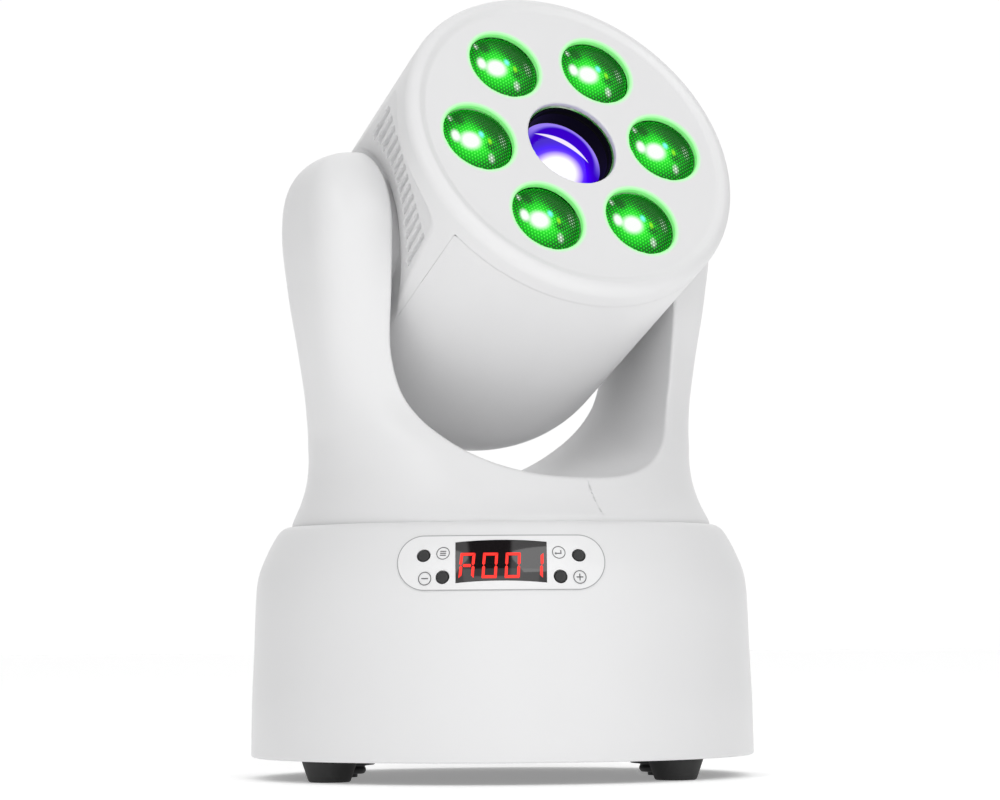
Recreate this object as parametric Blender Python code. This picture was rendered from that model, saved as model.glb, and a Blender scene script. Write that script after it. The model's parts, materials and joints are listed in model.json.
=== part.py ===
"""Moving head light: round base, turning yoke and tilting head.

Every dimension below is in millimetres and is scaled once, when a mesh is
made. World frame: +Z up, the control panel faces -Y, the origin is on the
ground under the pan axis. The yoke's own frame has +X along the tilt axis and
its front along -Y. The head's own frame has its origin where the tilt axis
meets the pan axis, +X along the tilt axis and +Z along the beam.
"""

import math

import bmesh
import bpy
from mathutils import Matrix, Vector

MM = 0.001

# ---------------------------------------------------------------- dimensions
PAN_DEG = 28.49            # how far the yoke is turned from facing the panel
BEAM_DEG = 28.33           # how far the beam points above the horizon
TILT_Z = 187.6             # height of the tilt axis
GAP = 0.3                  # clearance between pieces that touch

# base casing, outer side, (radius, height) from the rim up to the top land
BASE_OUTER = [(87.2, 7.2), (87.65, 7.8), (87.3, 26.0), (86.4, 44.0), (86.0, 56.0),
              (85.7, 63.0), (85.2, 68.0), (84.2, 72.0), (82.9, 75.0), (81.1, 79.0),
              (79.5, 82.0), (77.9, 84.6), (76.4, 86.1), (74.6, 86.9)]
BASE_WALL = 2.6
WELL_R = 73.8              # round well in the top of the base that the yoke turns in
WELL_Z = 84.6
TOP_HOLE_R = 24.0

POCKET_X = 43.5            # rear connector pocket
POCKET_Z = (13.5, 60.5)
PLATE_Y = 72.0             # inner face of the connector plate
PLATE_T = 1.6

FOOT_XY = (58.3, 47.0)
FOOT_R_TOP = 9.5
FOOT_R_BOTTOM = 7.0
FOOT_H = 8.1
LOCK_XY = (53.2, -27.0)    # bracket lock sockets

# control panel on the shoulder
PANEL_X = 34.4
PANEL_Z = (63.8, 82.1)
WINDOW_X = 15.0
WINDOW_Z = (66.8, 80.2)
BUTTON_R = 2.0
BUTTONS = {"button_menu": (-25.5, 75.3), "button_down": (-19.3, 68.2),
           "button_enter": (25.6, 75.1), "button_up": (19.5, 68.2)}
BUTTON_TRAVEL = 0.7
SLOPE_DEG = 19.7           # lean of the shoulder behind the panel

# yoke stations: height, half length along the tilt axis, half depth, exponent
YOKE = [(85.1, 73.2, 73.2, 2.0), (87.2, 73.2, 73.2, 2.0), (91.0, 72.2, 69.3, 2.0),
        (95.0, 70.9, 65.5, 2.0), (103.0, 69.4, 59.9, 2.0), (109.0, 69.3, 55.2, 2.05),
        (116.0, 69.4, 47.6, 2.3), (124.0, 70.5, 38.6, 2.55), (133.0, 71.8, 32.4, 2.85),
        (150.0, 74.6, 29.7, 3.15), (168.0, 77.0, 30.4, 3.5), (187.6, 78.6, 30.4, 3.8)]
YOKE_TOP = 216.0
YOKE_WALL = 2.4
U_HALF = 55.7              # the gap the head swings in
U_MID_Z = 162.1
U_DEPTH = 60.0
U_EXP = (2.47, 2.87)
YOKE_FLOOR = 2.5

# head, (radius, distance along the beam from the tilt axis)
HEAD_FRONT = [(55.3, 60.4), (57.2, 61.5), (59.1, 61.1), (60.8, 59.1), (61.4, 55.8),
              (61.4, 52.4)]
HEAD_BACK_R = 59.8
HEAD_DOME_L = -33.0        # where the rounded rear end starts
HEAD_DOME_LEN = 48.5
HEAD_WALL = 2.3
FACE_L = 60.4
PARTING_L = 52.4
SEAM_V = 34.8
# flat sides of the head, (distance along the beam, distance along the tilt axis)
SIDE = [(-5.0, 50.0), (45.0, 54.5), (48.2, 55.0), (50.0, 56.6), (51.0, 59.2), (51.2, 63.0)]
SIDE_INSIDE = [(25.5, 47.7), (28.5, 50.6), (45.0, 52.2), (50.0, 53.0), (52.6, 55.6), (53.6, 63.0)]
RECESS_R = 38.1            # round recess that the arm's end turns in
RECESS_L = -14.4
RECESS_S = 50.0
BOSS_R = 22.0
BOSS_S = 55.1

GROOVES = 14
GROOVE_PITCH = 4.0
GROOVE_R = 43.6            # their rear ends follow the recess's edge
GROOVE_FRONT_L = 39.0
GROOVE_HALF_W = 1.25
GROOVE_DEPTH = 1.4

LENS_RING_R = 36.0
LENS_HOLE_R = 13.0
LENS_R = 12.6
SPOT_HOLE_R = 16.5
SPOT_TUBE_R = 16.1
SPOT_BORE_R = 15.1
SPOT_LENS_R = 14.8
SPOT_LENS_L = 50.0

WHEEL_V = -20.0            # gobo wheel's axis, below the beam
WHEEL_R = 27.0
WHEEL_L = (14.0, 15.2)
GOBOS = 7
FAN_HALF = 30.0
FAN_L = (-58.0, -43.0)

SHAFT_R = 7.0
SHAFT_BORE = 4.5
BEARING_R = 11.0
TILT_PULLEY_R = 19.1       # 60 teeth of 2 mm pitch
TILT_PINION_R = 5.1        # 16 teeth
TILT_PINION_Z = 101.5
TILT_BELT_S = (61.0, 65.4)
PAN_PULLEY_R = 25.5        # 80 teeth of 2 mm pitch
PAN_PINION_R = 6.4         # 20 teeth
PAN_PINION_X = -44.0
PAN_BELT_Z = (67.0, 73.0)
BELT_T = 1.3

# ------------------------------------------------------------------ materials
LOOKS = {
    "white_plastic": ((0.84, 0.84, 0.84), 0.32, 0.0),
    "black_plastic": ((0.02, 0.02, 0.022), 0.4, 0.0),
    "black_gloss": ((0.01, 0.01, 0.012), 0.12, 0.0),
    "rubber": ((0.025, 0.025, 0.025), 0.8, 0.0),
    "overlay": ((0.9, 0.9, 0.9), 0.35, 0.0),
    "smoked_window": ((0.015, 0.015, 0.018), 0.08, 0.0),
    "display": ((0.5, 0.02, 0.02), 0.5, 0.0),
    "circuit": ((0.03, 0.16, 0.07), 0.5, 0.0),
    "white_circuit": ((0.8, 0.8, 0.78), 0.45, 0.0),
    "steel": ((0.6, 0.6, 0.6), 0.35, 1.0),
    "black_steel": ((0.03, 0.03, 0.03), 0.5, 0.0),
    "aluminium": ((0.75, 0.76, 0.78), 0.4, 1.0),
    "belt_rubber": ((0.03, 0.03, 0.03), 0.7, 0.0),
    "wash_lens": ((0.05, 0.75, 0.1), 0.1, 0.0),
    "spot_glass": ((0.3, 0.25, 0.95), 0.05, 0.0),
    "led_chip": ((0.85, 0.75, 0.3), 0.4, 0.0),
}


def material(slot):
    found = bpy.data.materials.get(slot)
    if found:
        return found
    colour, rough, metal = LOOKS[slot]
    made = bpy.data.materials.new(slot)
    made.use_nodes = True
    shader = made.node_tree.nodes["Principled BSDF"]
    shader.inputs["Base Color"].default_value = (*colour, 1.0)
    shader.inputs["Roughness"].default_value = rough
    shader.inputs["Metallic"].default_value = metal
    return made


# ------------------------------------------------------------- mesh building
def turned(profile, steps, closed=True):
    """Spin (radius, height) points about Z; a profile that starts and ends on
    the axis isn't closed."""
    bm = bmesh.new()
    verts = [bm.verts.new((r, 0.0, z)) for r, z in profile]
    edges = [bm.edges.new(pair) for pair in zip(verts, verts[1:])]
    if closed:
        edges.append(bm.edges.new((verts[-1], verts[0])))
    bmesh.ops.spin(bm, geom=verts + edges, cent=(0, 0, 0), axis=(0, 0, 1),
                   angle=math.tau, steps=steps, use_merge=True)
    bmesh.ops.remove_doubles(bm, verts=bm.verts, dist=1e-4)
    return bm


def box(x, y, z):
    bm = bmesh.new()
    size = (x[1] - x[0], y[1] - y[0], z[1] - z[0])
    middle = ((x[0] + x[1]) / 2, (y[0] + y[1]) / 2, (z[0] + z[1]) / 2)
    bmesh.ops.create_cube(bm, size=1.0, matrix=Matrix.Translation(middle) @ Matrix.Diagonal((*size, 1.0)))
    return bm


def rod(radius, z, steps, x=0.0, y=0.0):
    """A round bar along Z."""
    bm = bmesh.new()
    bmesh.ops.create_cone(bm, cap_ends=True, segments=steps, radius1=radius, radius2=radius,
                          depth=z[1] - z[0],
                          matrix=Matrix.Translation((x, y, (z[0] + z[1]) / 2)))
    return bm


def prism(outline, low, high):
    """Extrude an outline along Z; low and high may be functions of the point."""
    bm = bmesh.new()
    bottom = [bm.verts.new((x, y, low(x, y) if callable(low) else low)) for x, y in outline]
    top = [bm.verts.new((x, y, high(x, y) if callable(high) else high)) for x, y in outline]
    bm.faces.new(bottom[::-1])
    bm.faces.new(top)
    count = len(outline)
    for i in range(count):
        j = (i + 1) % count
        bm.faces.new((bottom[i], bottom[j], top[j], top[i]))
    return bm


def merged(parts):
    """Put several closed shapes in one mesh, for use as one cutter."""
    bm = parts[0]
    for part in parts[1:]:
        held = bpy.data.meshes.new("held")
        part.to_mesh(held)
        bm.from_mesh(held)
        bpy.data.meshes.remove(held)
        part.free()
    return bm


def moved(bm, matrix):
    bmesh.ops.transform(bm, matrix=matrix, verts=bm.verts)
    return bm


ALONG_X = Matrix(((0, 0, 1, 0), (1, 0, 0, 0), (0, 1, 0, 0), (0, 0, 0, 1)))   # Z to X
ALONG_Y = Matrix(((1, 0, 0, 0), (0, 0, 1, 0), (0, -1, 0, 0), (0, 0, 0, 1)))  # Z to Y


def place(name, bm, slot=None, parent=None, at=(0.0, 0.0, 0.0), turn=None, sharp=35.0):
    """Make an object from a mesh in millimetres. Without a slot it is a cutter."""
    bmesh.ops.recalc_face_normals(bm, faces=bm.faces)
    if bm.calc_volume(signed=True) < 0:
        bmesh.ops.reverse_faces(bm, faces=bm.faces)
    bmesh.ops.scale(bm, vec=(MM, MM, MM), verts=bm.verts)
    mesh = bpy.data.meshes.new(name)
    bm.to_mesh(mesh)
    bm.free()
    mesh.shade_smooth()
    mesh.set_sharp_from_angle(angle=math.radians(sharp))
    made = bpy.data.objects.new(name, mesh)
    bpy.context.scene.collection.objects.link(made)
    made.parent = parent
    made.location = Vector(at) * MM
    if turn is not None:
        made.rotation_euler = turn
    if slot:
        mesh.materials.append(material(slot))
    else:
        made.hide_render = True
        made.display_type = "WIRE"
    return made


def boolean(target, tool, operation="DIFFERENCE"):
    made = target.modifiers.new(tool.name, "BOOLEAN")
    made.operation = operation
    made.solver = "EXACT"
    made.object = tool
    return target


def empty(name, parent=None, at=(0.0, 0.0, 0.0), turn=(0.0, 0.0, 0.0)):
    made = bpy.data.objects.new(name, None)
    bpy.context.scene.collection.objects.link(made)
    made.parent = parent
    made.location = Vector(at) * MM
    made.rotation_euler = turn
    return made


def arc(radius, start, end, steps, cx=0.0, cy=0.0):
    """Points along an arc, angles in degrees."""
    return [(cx + radius * math.cos(math.radians(start + (end - start) * i / steps)),
             cy + radius * math.sin(math.radians(start + (end - start) * i / steps)))
            for i in range(steps + 1)]


def belt_outline(r1, r2, distance, steps):
    """Outline around two round pulleys, the second at +X distance."""
    lean = math.degrees(math.acos((r1 - r2) / distance))
    return (arc(r1, lean, 360.0 - lean, steps)
            + arc(r2, -lean, lean, max(4, steps // 2), cx=distance))


def smooth_stations(stations, height):
    """Read a station table at a height, with a smooth cubic through its rows."""
    count = len(stations)
    if height <= stations[0][0]:
        return stations[0][1:]
    if height >= stations[-1][0]:
        return stations[-1][1:]
    i = max(k for k in range(count - 1) if stations[k][0] <= height)
    h = stations[i + 1][0] - stations[i][0]
    t = (height - stations[i][0]) / h
    values = []
    for column in range(1, len(stations[0])):
        def slope(k):
            if k == 0 or k == count - 1:
                return 0.0
            before = (stations[k][column] - stations[k - 1][column]) / (stations[k][0] - stations[k - 1][0])
            after = (stations[k + 1][column] - stations[k][column]) / (stations[k + 1][0] - stations[k][0])
            if before * after <= 0:
                return 0.0
            return 2 * before * after / (before + after)
        a, b = stations[i][column], stations[i + 1][column]
        values.append(a * (1 + 2 * t) * (1 - t) ** 2 + b * t * t * (3 - 2 * t)
                      + h * slope(i) * t * (1 - t) ** 2 - h * slope(i + 1) * t * t * (1 - t))
    return tuple(values)


def base_radius(height):
    """Outer radius of the base casing at a height."""
    rows = BASE_OUTER
    for (r0, z0), (r1, z1) in zip(rows, rows[1:]):
        if z0 <= height <= z1:
            return r0 + (r1 - r0) * (height - z0) / (z1 - z0)
    return rows[-1][0]


# ----------------------------------------------------------------------- base
def build_base():
    inner = [(84.8, 5.0), (84.6, 26.0), (83.3, 56.0), (82.4, 68.0), (80.3, 73.7), (77.6, 78.5),
             (72.0, 82.1), (0.0, 82.1)]
    casing = place("base_casing", turned(
        [(0.0, 7.2)] + BASE_OUTER + [(WELL_R, 86.5), (WELL_R, WELL_Z), (TOP_HOLE_R, WELL_Z), (TOP_HOLE_R, 80.0),
                      (0.0, 80.0)], 52, closed=False), "white_plastic")
    cavity = place("cut_base_cavity", turned([(0.0, 5.0)] + inner, 36, closed=False))
    liner = place("cut_pocket_liner", box((-POCKET_X - 2, POCKET_X + 2), (PLATE_Y - 1.5, 95),
                                          (POCKET_Z[0] - 2, POCKET_Z[1] + 2)))
    boolean(cavity, liner)
    boolean(casing, cavity)
    pocket = place("cut_pocket", box((-POCKET_X, POCKET_X), (60, 96), POCKET_Z))
    boolean(casing, pocket)

    lean = math.radians(SLOPE_DEG)
    holes = [moved(box((-WINDOW_X - 0.4, WINDOW_X + 0.4), (-95, -70),
                       (WINDOW_Z[0] - 0.4, WINDOW_Z[1] + 0.4)), Matrix.Identity(4))]
    for x, z in BUTTONS.values():
        holes.append(moved(rod(BUTTON_R + 0.4, (-9, 9), 12),
                           Matrix.Translation((x, -shoulder_y(x, z), z)) @ Matrix.Rotation(math.radians(90) - lean, 4, "X")))
    panel_holes = place("cut_panel_holes", merged(holes))
    boolean(casing, panel_holes)

    # overlay: a thin skin that follows the shoulder, cut to a pill
    heights = [PANEL_Z[0] - 1.5 + (PANEL_Z[1] - PANEL_Z[0] + 3.0) * i / 6 for i in range(7)]
    skin = [(base_radius(z) + GAP, z) for z in heights]
    band = turned([(r + 0.6, z) for r, z in skin] + skin[::-1], 72)
    overlay = place("panel_overlay", band, "overlay")
    mid = (PANEL_Z[0] + PANEL_Z[1]) / 2
    half = (PANEL_Z[1] - PANEL_Z[0]) / 2
    corner = 8.0
    pill = []
    for cx, cz, start in ((PANEL_X - corner, mid + half - corner, 0), (-PANEL_X + corner, mid + half - corner, 90),
                          (-PANEL_X + corner, mid - half + corner, 180), (PANEL_X - corner, mid - half + corner, 270)):
        pill += arc(corner, start, start + 90, 5, cx, cz)
    pill_cut = place("cut_pill", moved(prism(pill, -100, -60), Matrix(((1, 0, 0, 0), (0, 0, 1, 0), (0, 1, 0, 0), (0, 0, 0, 1)))))
    boolean(overlay, pill_cut, "INTERSECT")
    boolean(overlay, panel_holes)

    # window: a curved plate in the overlay's opening
    span = [WINDOW_Z[0] + (WINDOW_Z[1] - WINDOW_Z[0]) * i / 4 for i in range(5)]
    pane = turned([(base_radius(z) + 0.6, z) for z in span] + [(base_radius(z) - 0.9, z) for z in span[::-1]], 72)
    window = place("display_window", pane, "smoked_window")
    boolean(window, place("cut_window", box((-WINDOW_X, WINDOW_X), (-95, -60), (60, 90))), "INTERSECT")

    tilt = Matrix.Translation((0, -78.9, 73.5)) @ Matrix.Rotation(math.radians(90) - lean, 4, "X")
    place("display_module", moved(box((-15.1, 15.1), (-6.5, 6.5), (-6.0, 0.5)), tilt), "display")
    board = place("control_board", moved(box((-29.5, 29.5), (-8, 7.5), (-8.2, -6.6)), tilt), "circuit")
    switches = []
    for x, z in BUTTONS.values():
        spot = tilt.inverted() @ Vector((x, -shoulder_y(x, z), z))
        switches.append(box((spot.x - 2.1, spot.x + 2.1), (spot.y - 2.1, spot.y + 2.1), (-6.8, -4.6)))
        switches.append(rod(1.2, (-4.8, -2.6), 8, spot.x, spot.y))
    switch_tool = merged([switches[i] for i in (0, 2, 4, 6)])
    boolean(board, place("join_switches", moved(switch_tool, tilt)), "UNION")
    domes = merged([switches[i] for i in (1, 3, 5, 7)])
    boolean(board, place("join_switch_domes", moved(domes, tilt)), "UNION")

    for name, (x, z) in BUTTONS.items():
        spot = tilt.inverted() @ Vector((x, -shoulder_y(x, z), z))
        inner_end = -2.6 + BUTTON_TRAVEL + 0.2
        cap = turned([(0.0, inner_end), (BUTTON_R, inner_end), (BUTTON_R, spot.z - 0.6),
                      (BUTTON_R - 0.4, spot.z - 0.2), (0.0, spot.z - 0.2)], 16, closed=False)
        at = tilt @ Vector((spot.x, spot.y, 0))
        place(name, cap, "black_plastic", at=at, turn=(math.radians(90) - lean, 0, 0))

    plate = place("base_plate", rod(84.2, (8.4, 10.0), 48), "black_steel")
    vents = [box((x - 1.2, x + 1.2), (18, 46), (7, 11)) for x in range(-28, 29, 8)]
    boolean(plate, place("cut_plate_vents", merged(vents)))

    foot = [(0.0, 0.0), (FOOT_R_BOTTOM, 0.0), (FOOT_R_TOP, FOOT_H - 0.8), (FOOT_R_TOP, FOOT_H),
            (0.0, FOOT_H)]
    for name, sx, sy in (("foot_front_left", -1, -1), ("foot_front_right", 1, -1),
                         ("foot_rear_left", -1, 1), ("foot_rear_right", 1, 1)):
        place(name, turned(foot, 24, closed=False), "rubber", at=(sx * FOOT_XY[0], sy * FOOT_XY[1], 0))
    lock = [(0.0, 0.9), (3.6, 0.9), (3.6, 2.1), (5.8, 2.1), (6.7, 3.4), (6.0, 4.8), (9.5, 5.2),
            (9.5, 8.1), (0.0, 8.1)]
    for name, sx in (("bracket_socket_left", -1), ("bracket_socket_right", 1)):
        place(name, turned(lock, 16, closed=False), "black_plastic", at=(sx * LOCK_XY[0], LOCK_XY[1], 0))

    # power supply: a board with a transformer, a capacitor and a heat sink
    supply = place("power_supply", box((-46, 62), (-54, -2), (13.0, 14.6)), "circuit")
    boolean(supply, place("join_supply_parts", merged([
        box((10, 34), (-40, -16), (14.0, 34.0)), box((-40, -34), (-48, -12), (14.0, 26.0)),
        rod(8.0, (14.0, 32.0), 14, 48, -34), box((-24, -6), (-46, -34), (14.0, 24.0)),
        box((44, 58), (-18, -8), (14.0, 24.0))])), "UNION")

    # rear connectors
    back = place("connector_plate", box((-POCKET_X + GAP, POCKET_X - GAP), (PLATE_Y, PLATE_Y + PLATE_T),
                                        (POCKET_Z[0] + GAP, POCKET_Z[1] - GAP)), "black_steel")
    inlet_x, in_x, out_x, row_z = -27.5, 0.8, 28.3, 37.0
    boolean(back, place("cut_plate_holes", merged([
        box((inlet_x - 12.7, inlet_x + 12.7), (60, 90), (row_z - 15.2, row_z + 15.2)),
        moved(rod(11.6, (60, 90), 20), Matrix.Translation((in_x, 0, row_z)) @ ALONG_Y),
        moved(rod(11.6, (60, 90), 20), Matrix.Translation((out_x, 0, row_z)) @ ALONG_Y)])))
    face = PLATE_Y + PLATE_T + GAP
    inlet = place("power_inlet", box((inlet_x - 12.3, inlet_x + 12.3), (52, face + 0.5),
                                     (row_z - 14.8, row_z + 14.8)), "black_plastic")
    boolean(inlet, place("join_inlet_flange", box((inlet_x - 14, inlet_x + 14), (face, face + 2.0),
                                                  (row_z - 17.5, row_z + 17.5))), "UNION")
    pins = []
    socket_z = row_z - 5.6
    mouth = face + 2.0
    hollow = place("cut_inlet_socket", box((inlet_x - 11.4, inlet_x + 11.4), (mouth - 15.0, 90),
                                           (socket_z - 8.0, socket_z + 8.0)))
    for dx, dz in ((-7.0, -2.0), (0.0, 2.0), (7.0, -2.0)):
        pins.append(box((inlet_x + dx - 1.0, inlet_x + dx + 1.0), (mouth - 16.0, mouth - 5.0),
                        (socket_z + dz - 2.0, socket_z + dz + 2.0)))
    boolean(hollow, place("cut_inlet_pins", merged(pins)))
    boolean(inlet, hollow)
    drawer_z = row_z + 9.6
    boolean(inlet, place("cut_drawer_slot", box((inlet_x - 10.5, inlet_x + 10.5), (mouth - 16.0, 90),
                                                (drawer_z - 4.6, drawer_z + 4.6))))
    place("fuse_drawer", box((inlet_x - 10.2, inlet_x + 10.2), (mouth - 15.5, mouth + 0.3),
                             (drawer_z - 4.3, drawer_z + 4.3)), "black_plastic")
    for name, x, male in (("dmx_in_socket", in_x, True), ("dmx_out_socket", out_x, False)):
        shell = place(name, moved(rod(11.2, (54.5, face + 0.5), 20),
                                  Matrix.Translation((x, 0, row_z)) @ ALONG_Y), "black_plastic")
        boolean(shell, place("join_" + name, box((x - 12.9, x + 12.9), (face, face + 1.6),
                                                 (row_z - 15.4, row_z + 15.4))), "UNION")
        spots = [(x + 3.6 * math.cos(a), row_z + 3.6 * math.sin(a)) for a in (math.radians(30), math.radians(150), math.radians(270))]
        if male:
            recess = place("cut_" + name, moved(rod(9.4, (60.5, 90), 20), Matrix.Translation((x, 0, row_z)) @ ALONG_Y))
            boolean(recess, place("cut_pins_" + name, merged([
                moved(rod(1.2, (59, 71.0), 8), Matrix.Translation((px, 0, pz)) @ ALONG_Y) for px, pz in spots])))
            boolean(shell, recess)
        else:
            boolean(shell, place("cut_" + name, merged([
                moved(rod(1.5, (62, 90), 8), Matrix.Translation((px, 0, pz)) @ ALONG_Y) for px, pz in spots])))

    # pan drive: a steel bridge holds the bearing and the motor
    bridge = place("pan_bridge", moved(prism([(-68, 80), (-68, 64.4), (-24, 64.4), (-24, 66.2), (-66.2, 66.2), (-66.2, 79.9),
                                              (68, 79.9), (68, 81.8), (-68, 81.8)], -22, 22),
                                       Matrix(((1, 0, 0, 0), (0, 0, 1, 0), (0, 1, 0, 0), (0, 0, 0, 1)))), "steel")
    boolean(bridge, place("cut_bridge_bearing", rod(16.3, (76, 90), 28)))
    boolean(bridge, place("cut_bridge_motor", rod(11.4, (60, 68), 20, PAN_PINION_X, 0)))
    place("pan_bearing", turned([(9.3, 76.5), (16.0, 76.5), (16.0, 83.4), (12.9, 83.4), (12.7, 82.6), (12.3, 82.6),
                                 (12.1, 83.4), (9.3, 83.4)], 20), "steel")
    motor = place("pan_motor", box((PAN_PINION_X - 21, PAN_PINION_X + 21), (-21, 21), (30.0, 64.1)), "black_steel")
    boolean(motor, place("join_pan_motor_nose", merged([rod(11.0, (63.5, 66.0), 20, PAN_PINION_X, 0)])), "UNION")
    boolean(motor, place("join_pan_motor_shaft", rod(2.5, (65.0, 75.0), 12, PAN_PINION_X, 0)), "UNION")
    z0, z1 = PAN_BELT_Z
    place("pan_motor_pulley", turned([(2.8, z0 - 0.6), (PAN_PINION_R + 1.4, z0 - 0.6), (PAN_PINION_R + 1.4, z0 - 0.1),
                                      (PAN_PINION_R, z0 - 0.1), (PAN_PINION_R, z1 + 0.3), (PAN_PINION_R + 1.4, z1 + 0.3),
                                      (PAN_PINION_R + 1.4, z1 + 1.0), (2.8, z1 + 1.0)], 16),
          "aluminium", at=(PAN_PINION_X, 0, 0))
    reach = -PAN_PINION_X
    outside = belt_outline(PAN_PULLEY_R + GAP + BELT_T, PAN_PINION_R + GAP + BELT_T, reach, 24)
    inside = belt_outline(PAN_PULLEY_R + GAP, PAN_PINION_R + GAP, reach, 24)
    belt = place("pan_belt", moved(prism(outside, z0 + 0.2, z1), Matrix.Rotation(math.pi, 4, "Z")), "belt_rubber")
    boolean(belt, place("cut_pan_belt", moved(prism(inside, z0 - 5, z1 + 5), Matrix.Rotation(math.pi, 4, "Z"))))


def shoulder_y(x, z):
    """Distance of the shoulder in front of the pan axis, at a panel point."""
    return math.sqrt(base_radius(z) ** 2 - x * x)


# ----------------------------------------------------------------------- yoke
def yoke_ring(height, count, inset=0.0):
    """One plan outline of the yoke at a height."""
    if height <= TILT_Z:
        half, depth, power = smooth_stations(YOKE, height)
    else:
        half, depth, power = YOKE[-1][1:]
        k = min(1.0, (height - TILT_Z) / (YOKE_TOP - inset - TILT_Z))
        depth = inset + (depth - inset) * math.sqrt(max(0.0, 1 - k ** 2)) + 0.6
        half = U_HALF + (half - U_HALF) * (1 - k ** 5) ** 0.4 if k < 1 else U_HALF + 3
    points = []
    for i in range(count):
        a = math.tau * i / count
        c, s = math.cos(a), math.sin(a)
        points.append((round((half - inset) * math.copysign(abs(c) ** (2 / power), c), 4),
                       round((depth - inset) * math.copysign(abs(s) ** (2 / power), s), 4), height))
    return points


def yoke_loft(heights, count, inset=0.0):
    bm = bmesh.new()
    rings = [[bm.verts.new(p) for p in yoke_ring(h, count, inset)] for h in heights]
    for low, high in zip(rings, rings[1:]):
        for i in range(count):
            j = (i + 1) % count
            bm.faces.new((low[i], low[j], high[j], high[i]))
    bm.faces.new(rings[0][::-1])
    bm.faces.new(rings[-1])
    return bm


def u_outline(grow, steps):
    """The U between the arms, seen along its depth, open at the top."""
    points = []
    for i in range(steps + 1):
        a = math.pi * i / steps
        c, s = math.cos(a), math.sin(a)
        points.append((math.copysign(abs(c) ** (2 / U_EXP[0]), c) * (U_HALF + grow),
                       U_MID_Z - abs(s) ** (2 / U_EXP[1]) * (U_DEPTH + grow)))
    return [(U_HALF + grow, 240.0)] + points + [(-U_HALF - grow, 240.0)]


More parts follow.
